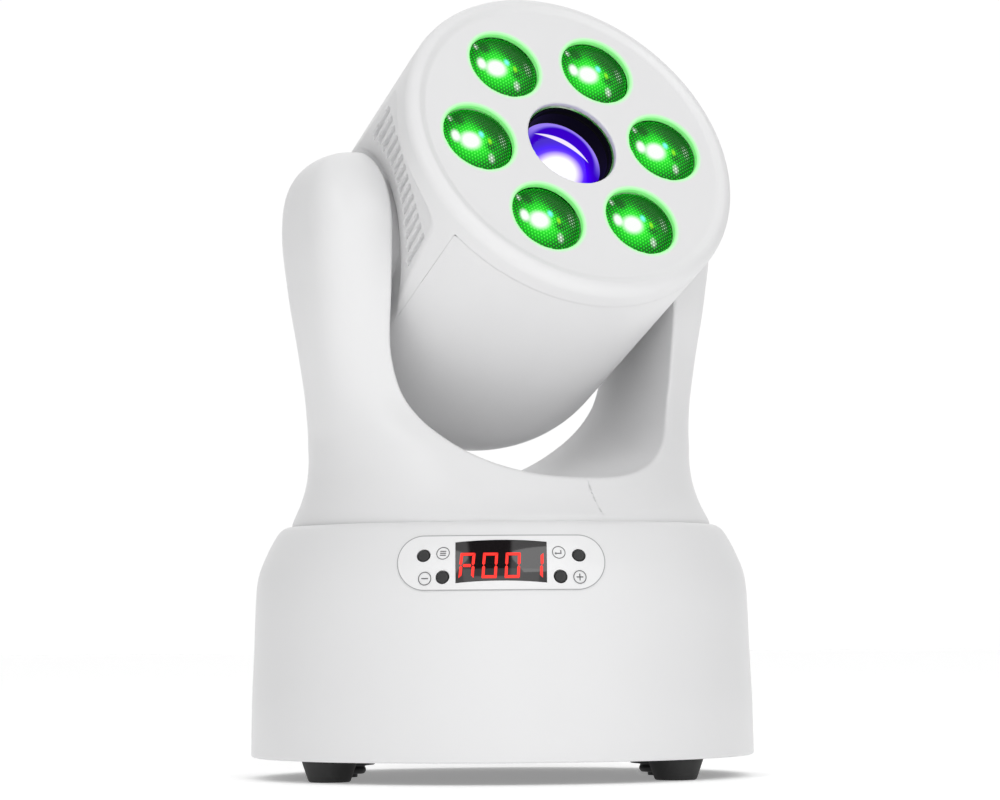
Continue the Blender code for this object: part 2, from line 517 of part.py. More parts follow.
def build_yoke(axis):
    heights = [85.1, 87.2, 91, 95, 99, 103, 109, 116, 124, 133, 148, 168, 187.6,
               198, 206, 211.5, 215.2]
    inner_heights = [87.6, 95, 103, 110, 118, 128, 148, 187.6, 200, 208, 212.5]
    stand = Matrix(((1, 0, 0, 0), (0, 0, 1, 0), (0, 1, 0, 0), (0, 0, 0, 1)))
    u_cut = place("cut_u", moved(prism(u_outline(0.0, 28), -90, 90), stand), parent=axis)
    cavity = place("cut_yoke_cavity", yoke_loft(inner_heights, 26, YOKE_WALL), parent=axis)
    u_wall = place("cut_u_wall", moved(prism(u_outline(YOKE_WALL, 24), -95, 95), stand), parent=axis)
    boolean(cavity, u_wall)
    bores = place("cut_yoke_bores", merged([
        moved(rod(BEARING_R + GAP, (50, 60), 20, 0, TILT_Z), ALONG_X),
        moved(rod(BEARING_R + GAP, (-60, -50), 20, 0, TILT_Z), ALONG_X),
        rod(9.8, (80, 90), 20)]), parent=axis)
    for name, side in (("yoke_shell_left", -1), ("yoke_shell_right", 1)):
        bm = yoke_loft(heights, 44)
        geom = bm.verts[:] + bm.edges[:] + bm.faces[:]
        bmesh.ops.bisect_plane(bm, geom=geom, plane_co=(side * GAP / 2, 0, 0), plane_no=(side, 0, 0),
                               clear_inner=True, dist=1e-6)
        bmesh.ops.holes_fill(bm, edges=[e for e in bm.edges if e.is_boundary], sides=0)
        shell = place(name, bm, "white_plastic", parent=axis)
        boolean(boolean(boolean(shell, cavity), u_cut), bores)

    place("pan_shaft", turned([(6.0, 58.0), (9.0, 58.0), (9.0, 88.0), (20.0, 88.0), (20.0, 90.2), (6.0, 90.2)], 22),
          "steel", parent=axis)
    z0, z1 = PAN_BELT_Z
    place("pan_pulley", turned([(9.3, z0 - 0.6), (PAN_PULLEY_R + 1.4, z0 - 0.6), (PAN_PULLEY_R + 1.4, z0 - 0.1),
                                (PAN_PULLEY_R, z0 - 0.1), (PAN_PULLEY_R, z1 + 0.3), (PAN_PULLEY_R + 1.4, z1 + 0.3),
                                (PAN_PULLEY_R + 1.4, z1 + 1.0), (9.3, z1 + 1.0)], 26), "aluminium", parent=axis)
    for name, side in (("tilt_bearing_left", -1), ("tilt_bearing_right", 1)):
        ring = turned([(SHAFT_R + GAP, 56.0), (BEARING_R, 56.0), (BEARING_R, 60.4), (9.4, 60.4), (9.2, 59.8),
                       (8.8, 59.8), (8.6, 60.4), (SHAFT_R + GAP, 60.4)], 18)
        turn = ALONG_X if side > 0 else Matrix.Rotation(math.pi, 4, "Z") @ ALONG_X
        place(name, moved(ring, Matrix.Translation((0, 0, TILT_Z)) @ turn), "steel", parent=axis)
    can = place("tilt_motor", moved(rod(12.0, (45.2, 58.0), 20), Matrix.Translation((0, 0, TILT_PINION_Z)) @ ALONG_X),
                "steel", parent=axis)
    ears = [(-17.0, -3.5), (17.0, -3.5), (17.0, 3.5), (-17.0, 3.5)]
    boolean(can, place("join_tilt_motor_ears", moved(prism(ears, 57.4, 58.4), Matrix.Translation((0, 0, TILT_PINION_Z)) @ ALONG_X),
                       parent=axis), "UNION")
    boolean(can, place("join_tilt_motor_shaft", moved(rod(1.25, (57.6, 65.2), 10), Matrix.Translation((0, 0, TILT_PINION_Z)) @ ALONG_X),
                       parent=axis), "UNION")
    s0, s1 = TILT_BELT_S
    place("tilt_motor_pulley", moved(turned([(1.55, s0 - 0.9), (TILT_PINION_R + 1.2, s0 - 0.9), (TILT_PINION_R + 1.2, s0 - 0.3),
                                             (TILT_PINION_R, s0 - 0.3), (TILT_PINION_R, s1), (1.55, s1)], 16), ALONG_X),
          "aluminium", parent=axis, at=(0, 0, TILT_PINION_Z))
    reach = TILT_Z - TILT_PINION_Z
    down = Matrix.Translation((0, 0, TILT_Z)) @ Matrix(((0, 0, 1, 0), (0, 1, 0, 0), (-1, 0, 0, 0), (0, 0, 0, 1)))
    outside = belt_outline(TILT_PULLEY_R + GAP + BELT_T, TILT_PINION_R + GAP + BELT_T, reach, 22)
    inside = belt_outline(TILT_PULLEY_R + GAP, TILT_PINION_R + GAP, reach, 22)
    belt = place("tilt_belt", moved(prism(outside, s0 + 0.2, s1 - 0.4), down), "belt_rubber", parent=axis)
    boolean(belt, place("cut_tilt_belt", moved(prism(inside, s0 - 4, s1 + 4), down), parent=axis))


# ----------------------------------------------------------------------- head
def dome(radius, start, length, steps):
    """Profile of the rounded rear end, from its rim back to the axis."""
    return [(radius * math.cos(math.pi / 2 * i / steps), start - length * math.sin(math.pi / 2 * i / steps))
            for i in range(steps)] + [(0.0, start - length)]


def side_limit(l):
    """How far the head's flat side reaches along the tilt axis."""
    (l0, s0), (l1, s1) = SIDE[:2]
    return s0 + (s1 - s0) * max(0.0, l - l0) / (l1 - l0)


def build_head(axis):
    upright = Matrix(((1, 0, 0, 0), (0, 0, 1, 0), (0, 1, 0, 0), (0, 0, 0, 1)))
    back = [(61.3, 52.1), (61.1, 36.0)]
    outer = [(0.0, FACE_L)] + HEAD_FRONT + back + dome(HEAD_BACK_R, HEAD_DOME_L, HEAD_DOME_LEN, 6)
    hollow = [(0.0, FACE_L - 2.5), (57.6, FACE_L - 2.5), (58.9, 56.6), (58.9, 36.0)] \
        + dome(HEAD_BACK_R - HEAD_WALL, HEAD_DOME_L, HEAD_DOME_LEN - HEAD_WALL, 5)

    def planers(profile, name):
        both = []
        for side in (1, -1):
            outline = [(side * profile[0][1], -100.0)] + [(side * s, l) for l, s in profile]
            outline += [(side * 90.0, profile[-1][0]), (side * 90.0, -100.0)]
            both.append(moved(prism(outline, -90, 90), upright))
        return place(name, merged(both), parent=axis)

    housing = place("head_housing", turned(outer, 48, closed=False), "white_plastic", parent=axis)
    boolean(housing, planers(SIDE, "cut_sides"))
    boolean(housing, place("cut_recess", merged([
        moved(rod(RECESS_R, (RECESS_S, 70) if side > 0 else (-70, -RECESS_S), 40, 0, RECESS_L), Matrix(
            ((0, 0, 1, 0), (1, 0, 0, 0), (0, 1, 0, 0), (0, 0, 0, 1)))) for side in (1, -1)]), parent=axis))
    bosses = place("join_bosses", merged([
        moved(turned([(0.0, 46.0), (BOSS_R, 46.0), (BOSS_R, BOSS_S - 1.0), (BOSS_R - 1.0, BOSS_S), (0.0, BOSS_S)], 24, closed=False),
              (ALONG_X if side > 0 else Matrix.Rotation(math.pi, 4, "Z") @ ALONG_X)) for side in (1, -1)]), parent=axis)
    boolean(housing, bosses, "UNION")
    cavity = place("cut_head_cavity", turned(hollow, 36, closed=False), parent=axis)
    boolean(cavity, planers(SIDE_INSIDE, "cut_sides_inside"))
    boolean(housing, cavity)
    boolean(housing, place("cut_cover_space", merged([
        box((-80, 80), (SEAM_V - 0.15, 90), (-100, PARTING_L)),
        box((-80, 80), (-90, -SEAM_V + 0.15), (-100, PARTING_L))]), parent=axis))
    holes = [rod(LENS_HOLE_R, (50, 70), 16, LENS_RING_R * math.cos(math.radians(60 * i)),
                 LENS_RING_R * math.sin(math.radians(60 * i))) for i in range(6)]
    holes.append(rod(SPOT_HOLE_R, (50, 70), 24))
    boolean(housing, place("cut_face_holes", merged(holes), parent=axis))
    boolean(housing, place("cut_tilt_bore", moved(rod(SHAFT_R + 0.4, (-70, 70), 20), ALONG_X), parent=axis))

    grooves = []
    for side in (1, -1):
        for i in range(GROOVES):
            v = GROOVE_PITCH * ((GROOVES - 1) / 2 - i)
            low = RECESS_L + math.sqrt(GROOVE_R ** 2 - v * v)
            high = GROOVE_FRONT_L
            w = GROOVE_HALF_W
            outline = [(v - w, low), (v + w, low), (v + w, high), (v - w, high)]
            bm = prism(outline, lambda x, y: side_limit(y) - GROOVE_DEPTH, 64.0)
            # outline is (v, l) and the height is s
            turn = Matrix(((0, 0, side, 0), (1, 0, 0, 0), (0, 1, 0, 0), (0, 0, 0, 1)))
            grooves.append(moved(bm, turn))
    boolean(housing, place("cut_grooves", merged(grooves), parent=axis))
    slots = []
    for i in range(-3, 4):
        reach = math.sqrt(27.0 ** 2 - (6.4 * i) ** 2)
        slots.append(box((-reach, reach), (6.4 * i - 1.5, 6.4 * i + 1.5), (-95, -50)))
    boolean(housing, place("cut_rear_grille", merged(slots), parent=axis))

    for name, side in (("head_cover_upper", 1), ("head_cover_lower", -1)):
        bm = turned(outer, 48, closed=False)
        for co, no in (((0, side * (SEAM_V + 0.15), 0), (0, side, 0)), ((0, 0, PARTING_L - 0.3), (0, 0, -1))):
            bmesh.ops.bisect_plane(bm, geom=bm.verts[:] + bm.edges[:] + bm.faces[:], plane_co=co, plane_no=no,
                                   clear_inner=True, dist=1e-6)
            bmesh.ops.holes_fill(bm, edges=[e for e in bm.edges if e.is_boundary], sides=0)
        cover = place(name, bm, "white_plastic", parent=axis)
        boolean(cover, cavity)

    lens = [(0.0, 61.0), (5.5, 60.7), (9.6, 59.9), (LENS_R, 58.6), (LENS_R, 56.0), (4.6, 43.2), (0.0, 43.2)]
    for i in range(6):
        a = math.radians(60 * i)
        place("wash_lens_%d" % (i + 1), turned(lens, 18, closed=False), "wash_lens", parent=axis,
              at=(LENS_RING_R * math.cos(a), LENS_RING_R * math.sin(a), 0))
    board = place("led_board", turned([(17.0, 40.0), (50.5, 40.0), (50.5, 41.6), (17.0, 41.6)], 28),
                  "white_circuit", parent=axis)
    boolean(board, place("join_led_chips", merged([
        moved(box((-2.6, 2.6), (-2.6, 2.6), (41.2, 42.8)), Matrix.Translation((LENS_RING_R * math.cos(math.radians(60 * i)),
                                                                              LENS_RING_R * math.sin(math.radians(60 * i)), 0)))
        for i in range(6)]), parent=axis), "UNION")
    sink = place("wash_heat_sink", turned([(17.0, 36.6), (49.0, 36.6), (49.0, 39.7), (17.0, 39.7)], 28),
                 "aluminium", parent=axis)
    fins = []
    for i in range(12):
        a = math.radians(30 * i + 15)
        fins.append(moved(box((20, 46), (-0.8, 0.8), (22.0, 37.2)), Matrix.Rotation(a, 4, "Z")))
    boolean(sink, place("join_fins", merged(fins), parent=axis), "UNION")

    place("spot_tube", turned([(SPOT_BORE_R, 60.0), (SPOT_TUBE_R, 60.0), (SPOT_TUBE_R, 18.0), (13.0, 18.0), (13.0, 20.0),
                               (14.4, 20.0), (14.4, SPOT_LENS_L - 3.3), (SPOT_BORE_R, SPOT_LENS_L - 3.3)], 24),
          "black_gloss", parent=axis)
    place("spot_lens", turned([(0.0, SPOT_LENS_L + 4.6), (5.5, SPOT_LENS_L + 4.0), (10.5, SPOT_LENS_L + 2.2),
                               (SPOT_LENS_R, SPOT_LENS_L), (SPOT_LENS_R, SPOT_LENS_L - 3.0), (0.0, SPOT_LENS_L - 3.0)],
                              24, closed=False), "spot_glass", parent=axis)

    wheel_axis = empty("gobo_axis", axis, at=(0, WHEEL_V, 0))
    wheel = place("gobo_wheel", turned([(1.35, WHEEL_L[0]), (WHEEL_R, WHEEL_L[0]), (WHEEL_R, WHEEL_L[1]), (1.35, WHEEL_L[1])], 24),
                  "black_steel", parent=wheel_axis)
    boolean(wheel, place("cut_gobos", merged([
        rod(5.4 if i == 0 else 4.6, (10, 20), 8, -WHEEL_V * math.cos(math.tau * i / GOBOS + math.pi / 2),
            -WHEEL_V * math.sin(math.tau * i / GOBOS + math.pi / 2)) for i in range(GOBOS)]), parent=wheel_axis))
    motor = place("gobo_motor", rod(9.0, (-8.0, 12.6), 20, 0, WHEEL_V), "steel", parent=axis)
    boolean(motor, place("join_gobo_shaft", rod(1.0, (12.0, 17.0), 10, 0, WHEEL_V), parent=axis), "UNION")
    led = place("spot_led", box((-9.0, 9.0), (-9.0, 9.0), (0.0, 1.6)), "led_chip", parent=axis)
    boolean(led, place("join_spot_dome", turned([(0.0, 1.0), (4.0, 1.0), (3.6, 3.0), (2.0, 4.4), (0.0, 5.0)], 16, closed=False),
                       parent=axis), "UNION")
    block = place("spot_heat_sink", box((-20.0, 20.0), (-10.2, 22.0), (-4.3, -0.3)), "aluminium", parent=axis)
    boolean(block, place("join_spot_fins", merged([
        box((-19.0 + 6.2 * i, -17.2 + 6.2 * i), (-10.2, 22.0), (-30.0, -3.6)) for i in range(7)]), parent=axis), "UNION")

    frame = place("fan_frame", box((-FAN_HALF, FAN_HALF), (-FAN_HALF, FAN_HALF), FAN_L), "black_plastic", parent=axis)
    boolean(frame, place("cut_fan_bore", rod(28.6, (FAN_L[0] - 5, FAN_L[1] + 5), 36), parent=axis))
    boolean(frame, place("join_fan_struts", merged([
        moved(box((-30.0, 30.0), (-1.2, 1.2), (FAN_L[1] - 1.8, FAN_L[1] - 0.2)), Matrix.Rotation(math.radians(45), 4, "Z"))]),
        parent=axis), "UNION")
    boolean(frame, place("join_fan_struts_across", merged([
        moved(box((-30.0, 30.0), (-1.2, 1.2), (FAN_L[1] - 1.8, FAN_L[1] - 0.2)), Matrix.Rotation(math.radians(-45), 4, "Z"))]),
        parent=axis), "UNION")
    rotor = place("fan_rotor", rod(12.0, (FAN_L[0] + 1.5, FAN_L[1] - 2.6), 20), "black_plastic", parent=axis)
    blades = []
    for i in range(7):
        blade = box((10.5, 27.2), (-0.6, 0.6), (-5.6, 5.6))
        moved(blade, Matrix.Rotation(math.radians(38), 4, "X"))
        moved(blade, Matrix.Translation((0, 0, (FAN_L[0] + FAN_L[1]) / 2 - 0.6)))
        blades.append(moved(blade, Matrix.Rotation(math.tau * i / 7, 4, "Z")))
    boolean(rotor, place("join_fan_blades", merged(blades), parent=axis), "UNION")

    for name, side, end in (("tilt_shaft_left", -1, 66.0), ("tilt_shaft_right", 1, 66.8)):
        tube = turned([(SHAFT_BORE, 45.2), (12.0, 45.2), (12.0, 47.4), (SHAFT_R, 47.4), (SHAFT_R, end), (SHAFT_BORE, end)], 18)
        place(name, moved(tube, ALONG_X if side > 0 else Matrix.Rotation(math.pi, 4, "Z") @ ALONG_X), "steel", parent=axis)
    s0, s1 = TILT_BELT_S
    place("tilt_pulley", moved(turned([(SHAFT_R + GAP, s0 - 0.3), (TILT_PULLEY_R + 1.2, s0 - 0.3), (TILT_PULLEY_R + 1.2, s0 + 0.1),
                                       (TILT_PULLEY_R, s0 + 0.1), (TILT_PULLEY_R, s1), (SHAFT_R + GAP, s1)], 24), ALONG_X),
          "aluminium", parent=axis)


def main():
    for old in list(bpy.data.objects):
        bpy.data.objects.remove(old, do_unlink=True)
    build_base()
    yoke_axis = empty("pan_axis", turn=(0.0, 0.0, math.radians(PAN_DEG)))
    build_yoke(yoke_axis)
    head_axis = empty("tilt_axis", yoke_axis, at=(0, 0, TILT_Z), turn=(math.radians(90.0 - BEAM_DEG), 0.0, 0.0))
    build_head(head_axis)
    bpy.context.view_layer.update()


main()
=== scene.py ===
"""Looks for the moving head light: final meshes, materials, studio and camera.

Shapes are in millimetres in their own body's frame and are placed in metres in
the row frame. The large moulded shells are made as distance fields with real
fillets and then meshed, so their edges are rounded geometry.
"""

import json
import math

import bmesh
import bpy
import numpy as np
from mathutils import Matrix, Vector


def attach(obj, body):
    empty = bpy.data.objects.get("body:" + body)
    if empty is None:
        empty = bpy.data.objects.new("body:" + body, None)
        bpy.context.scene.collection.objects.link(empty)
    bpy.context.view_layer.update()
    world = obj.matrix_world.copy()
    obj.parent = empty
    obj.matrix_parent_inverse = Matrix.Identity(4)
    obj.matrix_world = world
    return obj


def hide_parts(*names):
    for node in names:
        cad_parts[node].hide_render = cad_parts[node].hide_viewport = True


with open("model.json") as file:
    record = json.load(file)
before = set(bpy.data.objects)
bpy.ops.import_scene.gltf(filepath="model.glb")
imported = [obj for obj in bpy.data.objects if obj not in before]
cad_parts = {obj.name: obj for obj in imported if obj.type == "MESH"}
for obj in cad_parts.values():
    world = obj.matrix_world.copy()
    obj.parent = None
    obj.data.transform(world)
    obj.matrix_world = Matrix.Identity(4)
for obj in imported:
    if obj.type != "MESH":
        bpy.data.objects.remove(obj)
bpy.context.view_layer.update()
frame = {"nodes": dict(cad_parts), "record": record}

MM = 0.001

# ------------------------------------------------------------------ dimensions
PAN_DEG, BEAM_DEG, TILT_Z = 28.49, 28.33, 187.6

YOKE = [(85.1, 73.2, 73.2, 2.0), (87.2, 73.2, 73.2, 2.0), (91.0, 72.2, 69.3, 2.0),
        (95.0, 70.9, 65.5, 2.0), (103.0, 69.4, 59.9, 2.0), (109.0, 69.3, 55.2, 2.05),
        (116.0, 69.4, 47.6, 2.3), (124.0, 70.5, 38.6, 2.55), (133.0, 71.8, 32.4, 2.85),
        (150.0, 74.6, 29.7, 3.15), (168.0, 77.0, 30.4, 3.5), (187.6, 78.6, 30.4, 3.8)]
YOKE_TOP, YOKE_WALL = 216.0, 2.4
U_HALF, U_MID_Z, U_DEPTH, U_EXP = 55.7, 162.1, 60.0, (2.47, 2.87)

FACE_L, PARTING_L, SEAM_V, HEAD_WALL = 60.4, 52.4, 34.8, 2.3
RING_R, WAIST_R, BACK_R = 61.4, 61.1, 59.8
DOME_L, DOME_LEN = -33.0, 48.5
SIDE_S, SIDE_SLOPE = 50.0, 0.09
RECESS_R, RECESS_L, RECESS_S = 38.1, -14.4, 50.0
BOSS_R, BOSS_S = 22.0, 55.1
GROOVES, GROOVE_PITCH, GROOVE_R, GROOVE_FRONT_L = 14, 4.0, 43.6, 39.0
GROOVE_HALF_W, GROOVE_DEPTH = 1.25, 2.0
LENS_RING_R, LENS_HOLE_R, LENS_R = 36.0, 13.0, 12.6
SPOT_HOLE_R, SPOT_TUBE_R, SPOT_BORE_R, SPOT_LENS_R, SPOT_LENS_L = 16.5, 16.1, 15.1, 14.8, 50.0

BASE_OUTER = [(87.2, 7.2), (87.65, 7.8), (87.3, 26.0), (86.4, 44.0), (86.0, 56.0),
              (85.7, 63.0), (85.2, 68.0), (84.2, 72.0), (82.9, 75.0), (81.1, 79.0),
              (79.5, 82.0), (77.9, 84.6), (76.4, 86.1), (74.6, 86.9)]
WELL_R, WELL_Z, TOP_HOLE_R = 73.8, 84.6, 24.0
POCKET_X, POCKET_Z, PLATE_Y = 43.5, (13.5, 60.5), 72.0
FOOT_XY, FOOT_R_TOP, FOOT_R_BOTTOM, FOOT_H = (58.3, 47.0), 9.5, 7.0, 8.1
LOCK_XY = (53.2, -27.0)
PANEL_X, PANEL_Z = 34.4, (63.8, 82.1)
WINDOW_X, WINDOW_Z = 15.0, (66.8, 80.2)
BUTTON_R = 2.0
BUTTONS = {"button_menu": (-25.5, 75.3), "button_down": (-19.3, 68.2),
           "button_enter": (25.6, 75.1), "button_up": (19.5, 68.2)}
ICONS = {"menu": (-19.1, 76.1), "minus": (-25.2, 67.8), "enter": (19.0, 76.15), "plus": (25.9, 68.0)}
SLOPE_DEG = 19.7

YOKE_FRAME = Matrix.Rotation(math.radians(PAN_DEG), 4, "Z")
HEAD_FRAME = YOKE_FRAME @ Matrix.Translation((0, 0, TILT_Z)) @ Matrix.Rotation(math.radians(90.0 - BEAM_DEG), 4, "X")
BASE_FRAME = Matrix.Identity(4)


# ------------------------------------------------------------- field functions
def cut(a, b, r):
    """Keep what is inside both fields, with the meeting edge rounded to r."""
    if r <= 0:
        return np.maximum(a, b)
    return np.minimum(-r, np.maximum(a, b)) + np.hypot(np.maximum(r + a, 0), np.maximum(r + b, 0))


def join(a, b, r):
    """What is inside either field, with the inner corner filled to radius r."""
    return -cut(-a, -b, r)


def even(function, p, eps=0.05):
    """Turn a smooth field into nearly true distance by its own slope."""
    value = function(p)
    slope = np.zeros(len(p))
    for axis in range(3):
        q = p.copy()
        q[:, axis] += eps
        slope += ((function(q) - value) / eps) ** 2
    return value / np.sqrt(np.maximum(slope, 1e-8))


def gradient(function, p, eps=0.02):
    out = np.empty_like(p)
    for axis in range(3):
        a, b = p.copy(), p.copy()
        a[:, axis] += eps
        b[:, axis] -= eps
        out[:, axis] = (function(a) - function(b)) / (2 * eps)
    return out


def in_parts(function, p, size=400000):
    return np.concatenate([function(p[i:i + size]) for i in range(0, len(p), size)]) if len(p) else np.zeros(0)


def surface(function, low, high, step, relax=2, planes=(), free=None):
    """Quads on the zero surface of a field, with its own slope as normals.

    planes are flat cuts (axis, position, test) through a plainer field, free:
    the corners that they leave are put exactly on both."""
    low = np.array(low, float)
    count = np.ceil((np.array(high, float) - low) / step).astype(int) + 1
    block = 5
    blocks = -(-count // block)
    count = blocks * block
    axes = [low[k] + step * np.arange(count[k]) for k in range(3)]
    mids = [low[k] + step * (np.arange(blocks[k]) * block + (block - 1) / 2) for k in range(3)]
    centres = np.stack(np.meshgrid(*mids, indexing="ij"), -1).reshape(-1, 3)
    rough = in_parts(function, centres).reshape(blocks)
    near = np.abs(rough) < step * block * 1.5
    values = np.where(rough > 0, 1e3, -1e3)
    for k in range(3):
        values = np.repeat(values, block, axis=k)
    wanted = near
    for k in range(3):
        wanted = np.repeat(wanted, block, axis=k)
    index = np.argwhere(wanted)
    points = np.stack([axes[k][index[:, k]] for k in range(3)], 1)
    values[wanted] = in_parts(function, points)
    inside = values < 0
    total = sum(np.roll(np.roll(np.roll(inside, -i, 0), -j, 1), -k, 2).astype(np.int8)
                for i in (0, 1) for j in (0, 1) for k in (0, 1))
    active = (total > 0) & (total < 8)
    active[-1], active[:, -1], active[:, :, -1] = False, False, False
    cells = np.argwhere(active)
    number = np.full(tuple(count), -1, np.int64)
    number[active] = np.arange(len(cells))
    # mean of the crossings on each cell's edges
    summed, crossings = np.zeros((len(cells), 3)), np.zeros(len(cells))
    for axis in range(3):
        others = [k for k in range(3) if k != axis]
        for i in (0, 1):
            for j in (0, 1):
                start = cells.copy()
                start[:, others[0]] += i
                start[:, others[1]] += j
                end = start.copy()
                end[:, axis] += 1
                a, b = values[tuple(start.T)], values[tuple(end.T)]
                crosses = (a < 0) != (b < 0)
                t = np.where(crosses, a / np.where(crosses, a - b, 1.0), 0.0)
                place_at = start.astype(float)
                place_at[:, axis] += t
                summed[crosses] += place_at[crosses]
                crossings[crosses] += 1
    verts = low + step * summed / crossings[:, None]
    faces = []
    for axis in range(3):
        a = inside[tuple(slice(0, -1) if k == axis else slice(1, None) for k in range(3))]
        b = inside[tuple(slice(1, None) if k == axis else slice(1, None) for k in range(3))]
        where = np.argwhere(a != b)
        out = a[tuple(where.T)]
        spot = where.copy()
        for k in range(3):
            if k != axis:
                spot[:, k] += 1
        u, v = [(1, 2), (2, 0), (0, 1)][axis]
        corner = []
        for du, dv in ((-1, -1), (0, -1), (0, 0), (-1, 0)):
            c = spot.copy()
            c[:, u] += du
            c[:, v] += dv
            corner.append(number[tuple(c.T)])
        quad = np.stack(corner, 1)
        quad[~out] = quad[~out][:, ::-1]
        faces.append(quad[(quad >= 0).all(1)])
    faces = np.concatenate(faces)
    edges = np.concatenate([faces[:, [0, 1]], faces[:, [1, 2]], faces[:, [2, 3]], faces[:, [3, 0]]])
    degree = np.maximum(np.bincount(edges.ravel(), minlength=len(verts)), 1)

    def settle(p, times):
        for _ in range(times):
            g = in_parts(lambda q: gradient(function, q), p)
            d = in_parts(function, p)
            n2 = np.maximum((g ** 2).sum(1), 0.05)
            move = -(d / n2)[:, None] * g
            length = np.linalg.norm(move, axis=1)
            move *= np.minimum(1.0, 0.5 * step / np.maximum(length, 1e-9))[:, None]
            p = p + move
        return p

    verts = settle(verts, 1)
    for _ in range(relax):
        middle = np.zeros_like(verts)
        for k in range(3):
            middle[:, k] = (np.bincount(edges[:, 0], weights=verts[edges[:, 1], k], minlength=len(verts))
                            + np.bincount(edges[:, 1], weights=verts[edges[:, 0], k], minlength=len(verts)))
        verts = settle(0.5 * verts + 0.5 * middle / degree[:, None], 1)
    verts = settle(verts, 2)
    smooth = np.zeros(len(verts), bool)
    for axis, value, test in planes:
        near = (np.abs(verts[:, axis] - value) < 0.55 * step) & test(verts, 0.55 * step)
        verts[near, axis] = value
        rim = np.zeros(len(verts), bool)
        rim[edges[~near[edges[:, 1]], 0]] = True
        rim[edges[~near[edges[:, 0]], 1]] = True
        edge = near & rim
        p = verts[edge]
        for _ in range(4):
            g = gradient(free, p)
            g[:, axis] = 0
            move = -(free(p) / np.maximum((g ** 2).sum(1), 0.1))[:, None] * g
            length = np.linalg.norm(move, axis=1)
            p = p + move * np.minimum(1.0, 0.5 * step / np.maximum(length, 1e-9))[:, None]
        verts[edge] = p
        smooth |= edge
    normals = in_parts(lambda q: gradient(function, q, 0.08), verts)
    if smooth.any():
        normals[smooth] = gradient(free, verts[smooth], 0.08)
    normals /= np.maximum(np.linalg.norm(normals, axis=1), 1e-9)[:, None]
    return verts, faces, normals


def solid(name, verts, faces, normals, matrix, mirror=False):
    """A mesh object in the row frame, in metres, with given normals."""
    if mirror:
        verts, normals, faces = verts * (-1, 1, 1), normals * (-1, 1, 1), faces[:, ::-1]
    turn = np.array(matrix.to_3x3())
    verts = (verts @ turn.T + np.array(matrix.translation)) * MM
    normals = normals @ turn.T
    mesh = bpy.data.meshes.new(name)
    mesh.vertices.add(len(verts))
    mesh.vertices.foreach_set("co", verts.astype(np.float32).ravel())
    mesh.loops.add(faces.size)
    mesh.loops.foreach_set("vertex_index", faces.astype(np.int32).ravel())
    mesh.polygons.add(len(faces))
    mesh.polygons.foreach_set("loop_start", np.arange(0, faces.size, 4, dtype=np.int32))
    mesh.update(calc_edges=True)
    mesh.validate()
    mesh.shade_smooth()
    if len(mesh.vertices) == len(normals):
        mesh.normals_split_custom_set_from_vertices([tuple(n) for n in normals])
    made = bpy.data.objects.new(name, mesh)
    bpy.context.scene.collection.objects.link(made)
    return made


# -------------------------------------------------------------------- the yoke
def station_table():
    """The yoke's stations read every quarter millimetre through a smooth cubic."""
    rows = np.array(YOKE)
    z, slopes = rows[:, 0], []
    for column in range(1, 4):
        v = rows[:, column]
        secant = np.diff(v) / np.diff(z)
        m = np.zeros(len(v))
        for k in range(1, len(v) - 1):
            if secant[k - 1] * secant[k] > 0:
                m[k] = 2 * secant[k - 1] * secant[k] / (secant[k - 1] + secant[k])
        slopes.append(m)
    fine = np.linspace(z[0], z[-1], 1200)
    out = []
    for column in range(1, 4):
        v, m = rows[:, column], slopes[column - 1]
        i = np.clip(np.searchsorted(z, fine, "right") - 1, 0, len(z) - 2)
        h = z[i + 1] - z[i]
        t = (fine - z[i]) / h
        out.append(v[i] * (1 + 2 * t) * (1 - t) ** 2 + v[i + 1] * t * t * (3 - 2 * t)
                   + h * m[i] * t * (1 - t) ** 2 - h * m[i + 1] * t * t * (1 - t))
    # a light blur keeps the highlights free of steps in curvature
    kernel = np.hanning(81)
    kernel /= kernel.sum()
    smooth = []
    for row in out:
        padded = np.concatenate([2 * row[0] - row[40:0:-1], row, 2 * row[-1] - row[-2:-42:-1]])
        smooth.append(np.convolve(padded, kernel, "valid"))
    return fine, smooth


STATION_Z, STATIONS = station_table()
YOKE_PARTING = 0.05        # half the gap where the two yoke shells meet
HEAD_PARTING = 0.09        # half the gap round the head's covers


def yoke_raw(p):
    z = p[:, 2]
    half, depth, power = (np.interp(z, STATION_Z, row) for row in STATIONS)
    k = np.maximum(0.0, (z - TILT_Z) / (YOKE_TOP - TILT_Z))
    under = np.minimum(k, 1.0)
    half = np.where(k > 0, U_HALF + (YOKE[-1][1] - U_HALF) * (1 - under ** 3.4 + 1e-6) ** 0.48, half)
    depth = np.where(k <= 0, depth, YOKE[-1][2] * np.sqrt(np.abs(1 - k ** 2)) * np.where(k > 1, -1.0, 1.0))
    across = (np.abs(p[:, 0] * depth / half) ** power + np.abs(p[:, 1]) ** power + 1e-9) ** (1 / power)
    return across - depth


def u_raw(p):
    down = np.maximum(U_MID_Z - p[:, 2], 0.0) / U_DEPTH
    value = (np.abs(p[:, 0]) / U_HALF) ** U_EXP[0] + down ** U_EXP[1]
    return (value + 1e-9) ** 0.4 - 1.0


